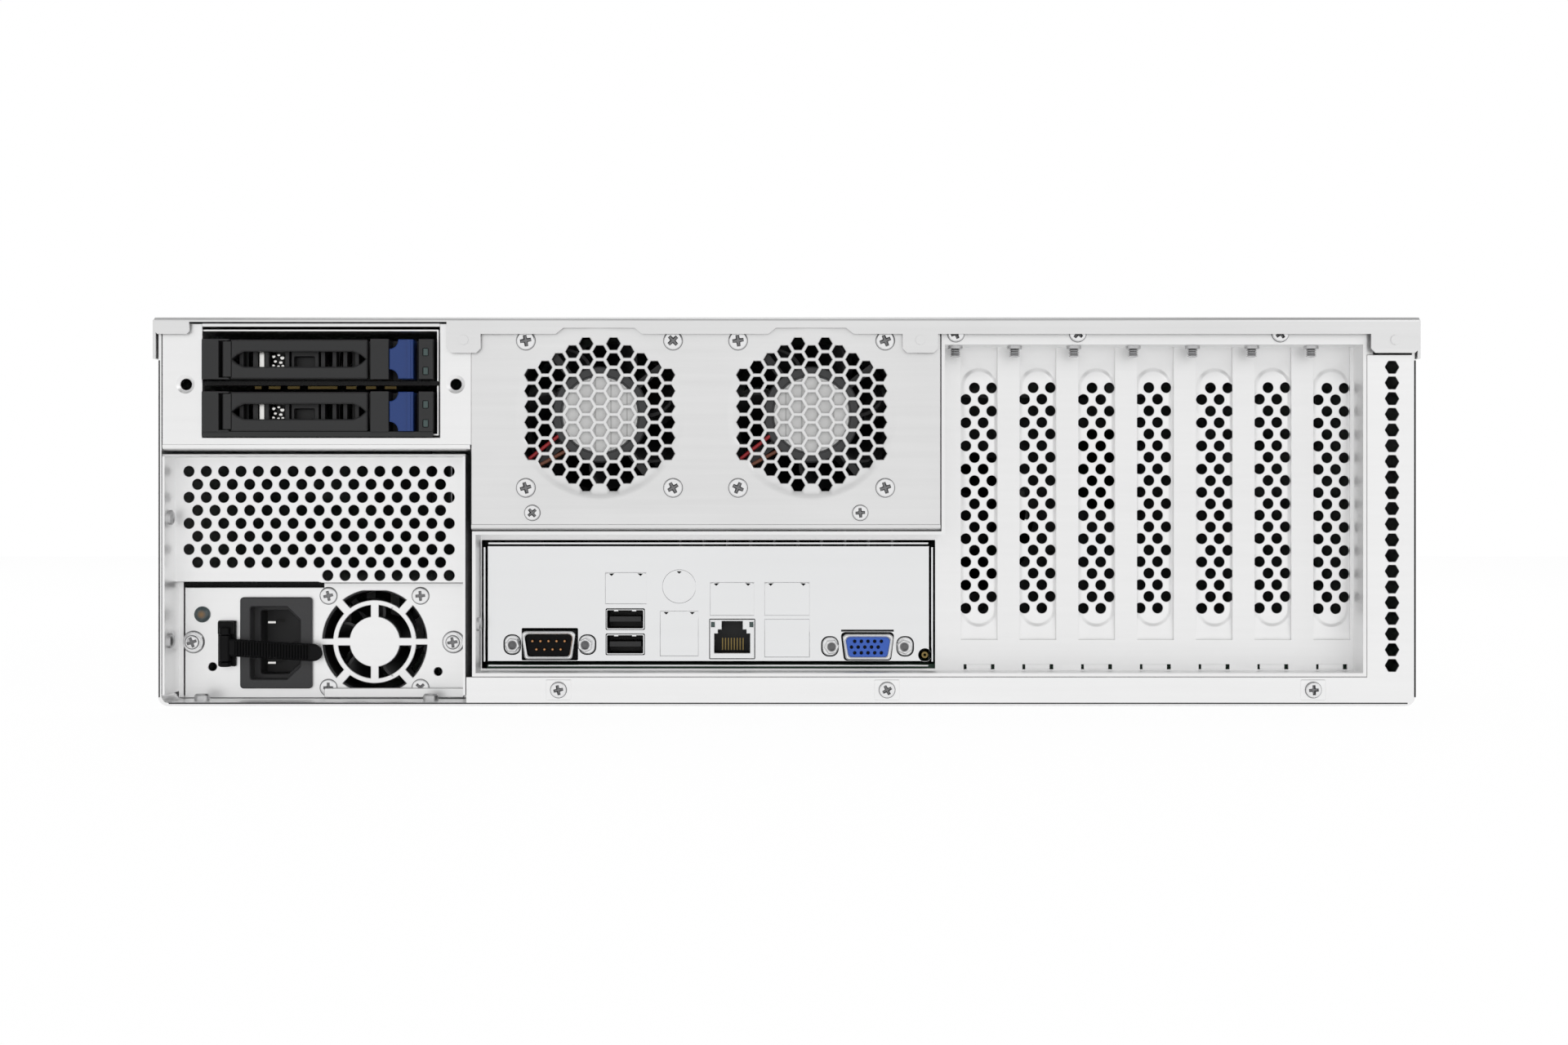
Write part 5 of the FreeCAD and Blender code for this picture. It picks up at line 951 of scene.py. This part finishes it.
for a0, a1, b0, b1 in KNOCK_OUTS:
    for inset in (0.0, KNOCK_EDGE):
        for k in range(15):
            x = a0 + inset + (a1 - a0 - 2 * inset) * k / 14
            z = b0 + inset + (b1 - b0 - 2 * inset) * k / 14
            edges += [(x, b0 + inset), (x, b1 - inset), (a0 + inset, z), (a1 - inset, z)]
    if b1 > 30:
        ticks += [(a0 + 2.2, b1 - 0.5), (a1 - 2.2, b1 - 0.5)]
shield_holes += [[(x - 0.85, z), (x, z - 0.75), (x + 0.85, z)] for x, z in ticks]
BEAD = ((0.4, 0.7), (-0.8, 0.7), (-1.05, 0.8), (-1.1, 1.0), (-1.05, 1.2), (-0.8, 1.35), (0.4, 1.35))
BEAD_END = 2.4
rim = [(SHIELD_FACE + y, h) for y, h in BEAD]
xm, zm = (x0 + x1) / 2, (z0 + z1) / 2
half_width = (x1 - x0) / 2
half_long = (z1 - z0) / 2 - BEAD_END
side_rim = swept([(y, zm - half_width + h) for y, h in rim], xm - half_long, xm + half_long)
piece("port_shield_plate", [
    plate(oblong(x0 + 2.05, x1 - 2.05, z0 + 2.5, z1 - 2.05), shield_holes, SHIELD_FACE,
          SHIELD_FACE + 0.4, 0.06, sorted(set(edges)), pressed),
    swept([(y, z0 + h) for y, h in rim], x0 + BEAD_END, x1 - BEAD_END),
    swept([(y, z1 - h) for y, h in rim], x0 + BEAD_END, x1 - BEAD_END),
    spun(side_rim, xm, zm, 90),
    spun(side_rim, xm, zm, -90),
], tinned, ["io_shield"], smooth=30)


# Ports: plated shells round black and blue inserts, two stacked sockets, a network jack, hexagon jackscrews.
# The shells are drawn from thin plate; the network jack's throat narrows upwards for the plug's catch.
# Foam gaskets close the gap between the connectors' flanges and the shield.

copper = coated("copper_pins", zinc_bloom, (0.55, 0.27, 0.12), 0.15, 0.3, 0.06, 1.0, 0.05)
video_blue = coated("video_blue", grain, (0.045, 0.145, 0.64), 0.12, 0.42, 0.05, 0.0, 0.15)
SHELL_TIP = REAR + 7.0
JACKSCREW = 12.5
THREAD_STEP = 0.5
# The jackscrew threads, closed at the end, are near-black as painted shade inside the bores.
thread = [(1.45, 8.0)]
for k in range(4):
    thread += [(1.15, 8.2 + THREAD_STEP * k), (1.4, 8.45 + THREAD_STEP * k)]
thread += [(0.6, 10.2), (0, 10.3)]
nuts, threads = [], []
for name, (xc, zc, width, height), stands_for, turn in (("serial", SERIAL, ["connector_shells"], 8),
                                                        ("video", VIDEO, [], 22)):
    outer = connector_cut(xc, zc, width, height)
    inner = connector_cut(xc, zc, width - 1.9, height - 1.9)
    flange = oblong(xc - 15.4, xc + 15.4, zc - 5.0, zc + 5.0, 2.0, 4)
    screw_holes = [ring(xc + s * JACKSCREW, zc, 1.9, 24) for s in (-1, 1)]
    shell = [plate(outer, [inner], SHELL_TIP, REAR + 13.0, 0.4),
             plate(flange, [inner] + screw_holes, REAR + 15.0, REAR + 16.0, 0.1)]
    for s, screw_hole in zip((-1, 1), screw_holes):
        lobe = oblong(xc + 12.9 * s - 2.7, xc + 12.9 * s + 2.7, zc - 3.2, zc + 3.2, 2.4, 6)
        shell.append(plate(lobe, [screw_hole], SHIELD_FACE - 0.7, SHIELD_FACE - 0.02, 0.3))
    piece(name + "_shell", shell, tinned, stands_for)
    piece(name + "_gasket", [plate(flange, [outer], REAR + 13.4, REAR + 15.0, 0.1)], foam)
    for s in (-1, 1):
        x = xc + s * JACKSCREW
        hexagon = ring(x, zc, 2.6, 6, math.radians(turn + 17 * s))
        nuts.append(plate(hexagon, [ring(x, zc, 1.45, 24)], REAR + 7.6, REAR + 11.6, 0.3))
        threads.append(turned(x, zc, thread, 24, face=REAR))
piece("jackscrew_nuts", nuts, bright, ["jackscrews"])
piece("jackscrew_threads", threads, recess_shade)

xc, zc, width, height = SERIAL
core = connector_cut(xc, zc, width - 2.0, height - 2.0)
pin_places = [(xc - 5.54 + 2.77 * i, zc + 1.42) for i in range(5)]
pin_places += [(xc - 4.155 + 2.77 * i, zc - 1.42) for i in range(4)]
pin = [(0, 7.9), (0.35, 8.0), (0.5, 8.4), (0.5, 11.0)]
piece("serial_core", [plate(core, [], REAR + 10.6, REAR + 14.0, 0.1)], nylon,
      ["serial_insert"])
piece("serial_pins", [turned(x, z, pin, 16, face=REAR) for x, z in pin_places], copper)
xc, zc, width, height = VIDEO
core = connector_cut(xc, zc, width - 2.0, height - 2.0)
sockets = [ring(xc - 4.58 + 2.29 * i + (0.0 if row != 1 else -1.1), zc + 1.98 * (1 - row), 0.62, 16)
           for row in range(3) for i in range(5)]
piece("video_core", [plate(core, sockets, REAR + 7.6, REAR + 11.0, 0.12)], video_blue,
      ["video_insert"])
piece("video_core_back", [plate(core, [], REAR + 11.0, REAR + 13.0, 0.02)], black)

CAN_LEFT, CAN_RIGHT = -62.3, -49.2
CAN_HEIGHT = 6.95
cans, tongues, contacts = [], [], []
for z in (25.5, 16.85):
    can = oblong(CAN_LEFT, CAN_RIGHT, z, z + CAN_HEIGHT, 0.5, 3)
    mouth = oblong(-61.95, -49.55, z + 0.35, z + 6.6, 0.3, 3)
    cans.append(plate(can, [mouth], REAR + 11.8, REAR + 13.0, 0.1))
    cans += [block(x, x + 1.5, REAR + 11.8, REAR + 12.0, z + 6.2, z + 6.75) for x in (-59.6, -53.4)]
    tongues.append(plate(can, [mouth], REAR + 13.0, REAR + 25.5, 0.05))
    tongues.append(block(CAN_LEFT, CAN_RIGHT, REAR + 25.3, REAR + 25.7, z, z + CAN_HEIGHT))
    tongues.append(block(-61.2, -50.3, REAR + 13.4, REAR + 25.3, z + 2.6, z + 4.4))
    contacts += [block(-60.2 + 2.5 * k, -59.0 + 2.5 * k, REAR + 15.0, REAR + 24.0, z + 2.54, z + 2.6)
                 for k in range(4)]
piece("usb_cans", cans, tinned, ["usb_ports"], 0.08, 1)
piece("usb_tongues", tongues, black, edge=0.12, steps=1)
piece("usb_contacts", contacts, copper)

JACK_MIDDLE = -18.8
CONTACT_PITCH = 1.02
throat_half = ((6.15, 17.3), (6.15, 24.0), (4.9, 24.0), (4.9, 25.4), (3.6, 25.4), (3.6, 28.3))
throat = [(JACK_MIDDLE + x, z) for x, z in throat_half] + [(JACK_MIDDLE - x, z) for x, z in throat_half[::-1]]
light_windows = [oblong(x, x + 1.3, 26.3, 28.0) for x in (-26.1, -12.8)]
piece("network_shell", [plate(oblong(-26.5, -11.1, 15.4, 28.9), [throat] + light_windows, REAR + 11.6,
                              REAR + 12.4, 0.15)], tinned, ["lan_jack"])
piece("network_body", [plate(oblong(-26.4, -11.2, 15.5, 28.8), [throat], REAR + 12.6, REAR + 25.0, 0.1),
                       block(-26.4, -11.2, REAR + 25.0, REAR + 29.0, 15.5, 28.8)], black)
wires = [-22.5 + CONTACT_PITCH * k for k in range(8)]
piece("network_contacts", [block(x, x + 0.4, REAR + 18.6, REAR + 19.0, 18.0, 22.2) for x in wires],
      brass)
piece("network_lights", [block(x, x + 1.2, REAR + 11.9, REAR + 12.6, 26.35, 27.95) for x in (-26.05, -12.75)],
      window_green)
round_throat = [(0.5, 13.4), (1.1, 13.4), (1.3, 13.8), (1.3, 17.0)]
piece("shield_round_socket", [turned(*ROUND_SOCKET, round_throat, 24, face=REAR)], brass)


# Inside: the system board on studs, with a finned metal cooler and upright memory boards plugged in.
# Three black fans hang in a sheet wall coloured dark as painted shade of the case's inside, and two green
# backplanes stand behind the trays.

board_green = coated("board_green", grain, (0.02, 0.075, 0.04), 0.3, 0.45, 0.08, 0.0, 0.4)
cooler_metal = coated("cooler_metal", zinc_bloom, (0.62, 0.62, 0.63), 0.1, 0.38, 0.08, 1.0, 0.2)
# Dark steel for the fan wall: painted shade, so the inside looks dark through the rear openings.
interior_shade = coated("painted_interior_shade", zinc_bloom, (0.15, 0.15, 0.155), 0.15, 0.5, 0.06, 0.6, 0.2)
dressed("motherboard", board_green, 0.15)
dressed("cpu_cooler", cooler_metal, 0.15)
dressed("memory_modules", board_green, 0.12)
dressed("backplanes", board_green, 0.15)
dressed("fan_wall", interior_shade, 0.2)
dressed("mid_fan_frames", black, 0.4, 2)
for place in ("left", "middle", "right"):
    dressed("mid_rotor_" + place, black, 0.2)


# Front: eight charcoal trays in a sheet cage below a slotted steel fascia; foam filters lie behind its slots.
# A moulded control panel carries two keys over a small board; steel ears and bright handles are screwed on.

FILTER_WIDTHS = ((-211.6, -88.0), (-86.0, 30.0), (32.0, 148.0))
dressed("front_cage", zinc, 0.2)
for column in (1, 2, 3, 4):
    for row in ("lower", "upper"):
        dressed("front_tray_%d_%s" % (column, row), charcoal, 0.3)
dressed("front_fascia", zinc, 0.4, 2)
piece("fascia_dust_filters", [block(left, right, 316.5, 322.4, 68.0, 124.0) for left, right in FILTER_WIDTHS],
      foam, edge=1.2, steps=3)
piece("control_board", [block(156.0, 207.0, 304.0, 305.6, 66.0, 127.0)], board_green, edge=0.2)
dressed("control_panel", charcoal, 0.5, 3)
dressed("power_button", hub_grey, 0.4, 3)
dressed("reset_button", hub_grey, 0.3, 3)
dressed("rack_ears", zinc, 0.4, 2)
dressed("front_handles", bright, 0.6, 3)


# Stage: a pale floor that fades into a white ground, soft light from all round, and the photograph's view.
# The surroundings are brighter level with the case than above and below it, as in a studio with side panels.

WHITE = (1.0, 1.0, 1.0, 1.0)
world = bpy.data.worlds.new("studio")
bpy.context.scene.world = world
world.use_nodes = True
sky = world.node_tree
axes = node(sky, "SeparateXYZ", {"Vector": node(sky, "TexCoord").outputs["Generated"]})
steep = node(sky, "Math", {0: axes.outputs["Z"]}, operation="ABSOLUTE")
level = node(sky, "MapRange", {"Value": steep.outputs[0], "From Min": 0.30, "From Max": 0.75, "To Min": 1.0,
                               "To Max": 0.35})
around = sky.nodes["Background"]
around.inputs["Color"].default_value = WHITE
sky.links.new(level.outputs["Result"], around.inputs["Strength"])

FLOOR_HALF = 3
FLOOR_Z = -0.0008
FLOOR_GLOW = 0.85
GLOW_STRENGTH = 1.07
floor_mesh = bpy.data.meshes.new("studio_floor")
floor_corners = ((-1, -1), (1, -1), (1, 1), (-1, 1))
floor_mesh.from_pydata([(FLOOR_HALF * x, FLOOR_HALF * y, FLOOR_Z) for x, y in floor_corners],
                       [], [[0, 1, 2, 3]])
floor = bpy.data.objects.new("studio_floor", floor_mesh)
bpy.context.scene.collection.objects.link(floor)
pale = coated("studio_pale", grain, (0.86, 0.86, 0.86), 0.01, 0.8, 0.02, 0.0, 0.05)
pale_tree = pale.node_tree
path = node(pale_tree, "LightPath")
seen = path.outputs["Is Camera Ray"]
for other in ("Is Glossy Ray", "Is Transmission Ray"):
    seen = node(pale_tree, "Math", {0: seen, 1: path.outputs[other]}, operation="MAXIMUM").outputs[0]
share = node(pale_tree, "Math", {0: seen, 1: FLOOR_GLOW}, operation="MULTIPLY")
glow = node(pale_tree, "Emission", {"Color": WHITE, "Strength": GLOW_STRENGTH})
mixed = node(pale_tree, "MixShader", {0: share.outputs[0], 1: pale_tree.nodes["Principled BSDF"].outputs[0],
                                      2: glow.outputs[0]})
pale_tree.links.new(mixed.outputs[0], pale_tree.nodes["Material Output"].inputs["Surface"])
floor_mesh.materials.append(pale)


def panel_light(name, place, aim, width, height, power):
    """Soft lamp panel that faces a point."""
    lamp = bpy.data.lights.new(name, "AREA")
    lamp.shape = "RECTANGLE"
    lamp.size = width
    lamp.size_y = height
    lamp.energy = power
    made = bpy.data.objects.new(name, lamp)
    made.location = place
    made.rotation_euler = (Vector(aim) - Vector(place)).to_track_quat("-Z", "Y").to_euler()
    bpy.context.scene.collection.objects.link(made)


panel_light("studio_front", (1.7, -1.7, 1.5), (0.0, -0.3, 0.06), 1.6, 1.2, 5.0)
panel_light("studio_top", (-0.3, 0.2, 2.2), (0.0, 0.0, 0.1), 1.8, 1.8, 8.0)

camera_data = bpy.data.cameras.new("studio_camera")
camera_data.lens = 50.0
camera_data.sensor_width = 36.0
camera_data.sensor_fit = "HORIZONTAL"
camera = bpy.data.objects.new("studio_camera", camera_data)
camera.location = (-0.0009, -1.064, 0.0624)
camera.rotation_euler = (math.radians(90), 0.0, 0.0)
bpy.context.scene.collection.objects.link(camera)
bpy.context.scene.camera = camera

bpy.context.view_layer.update()
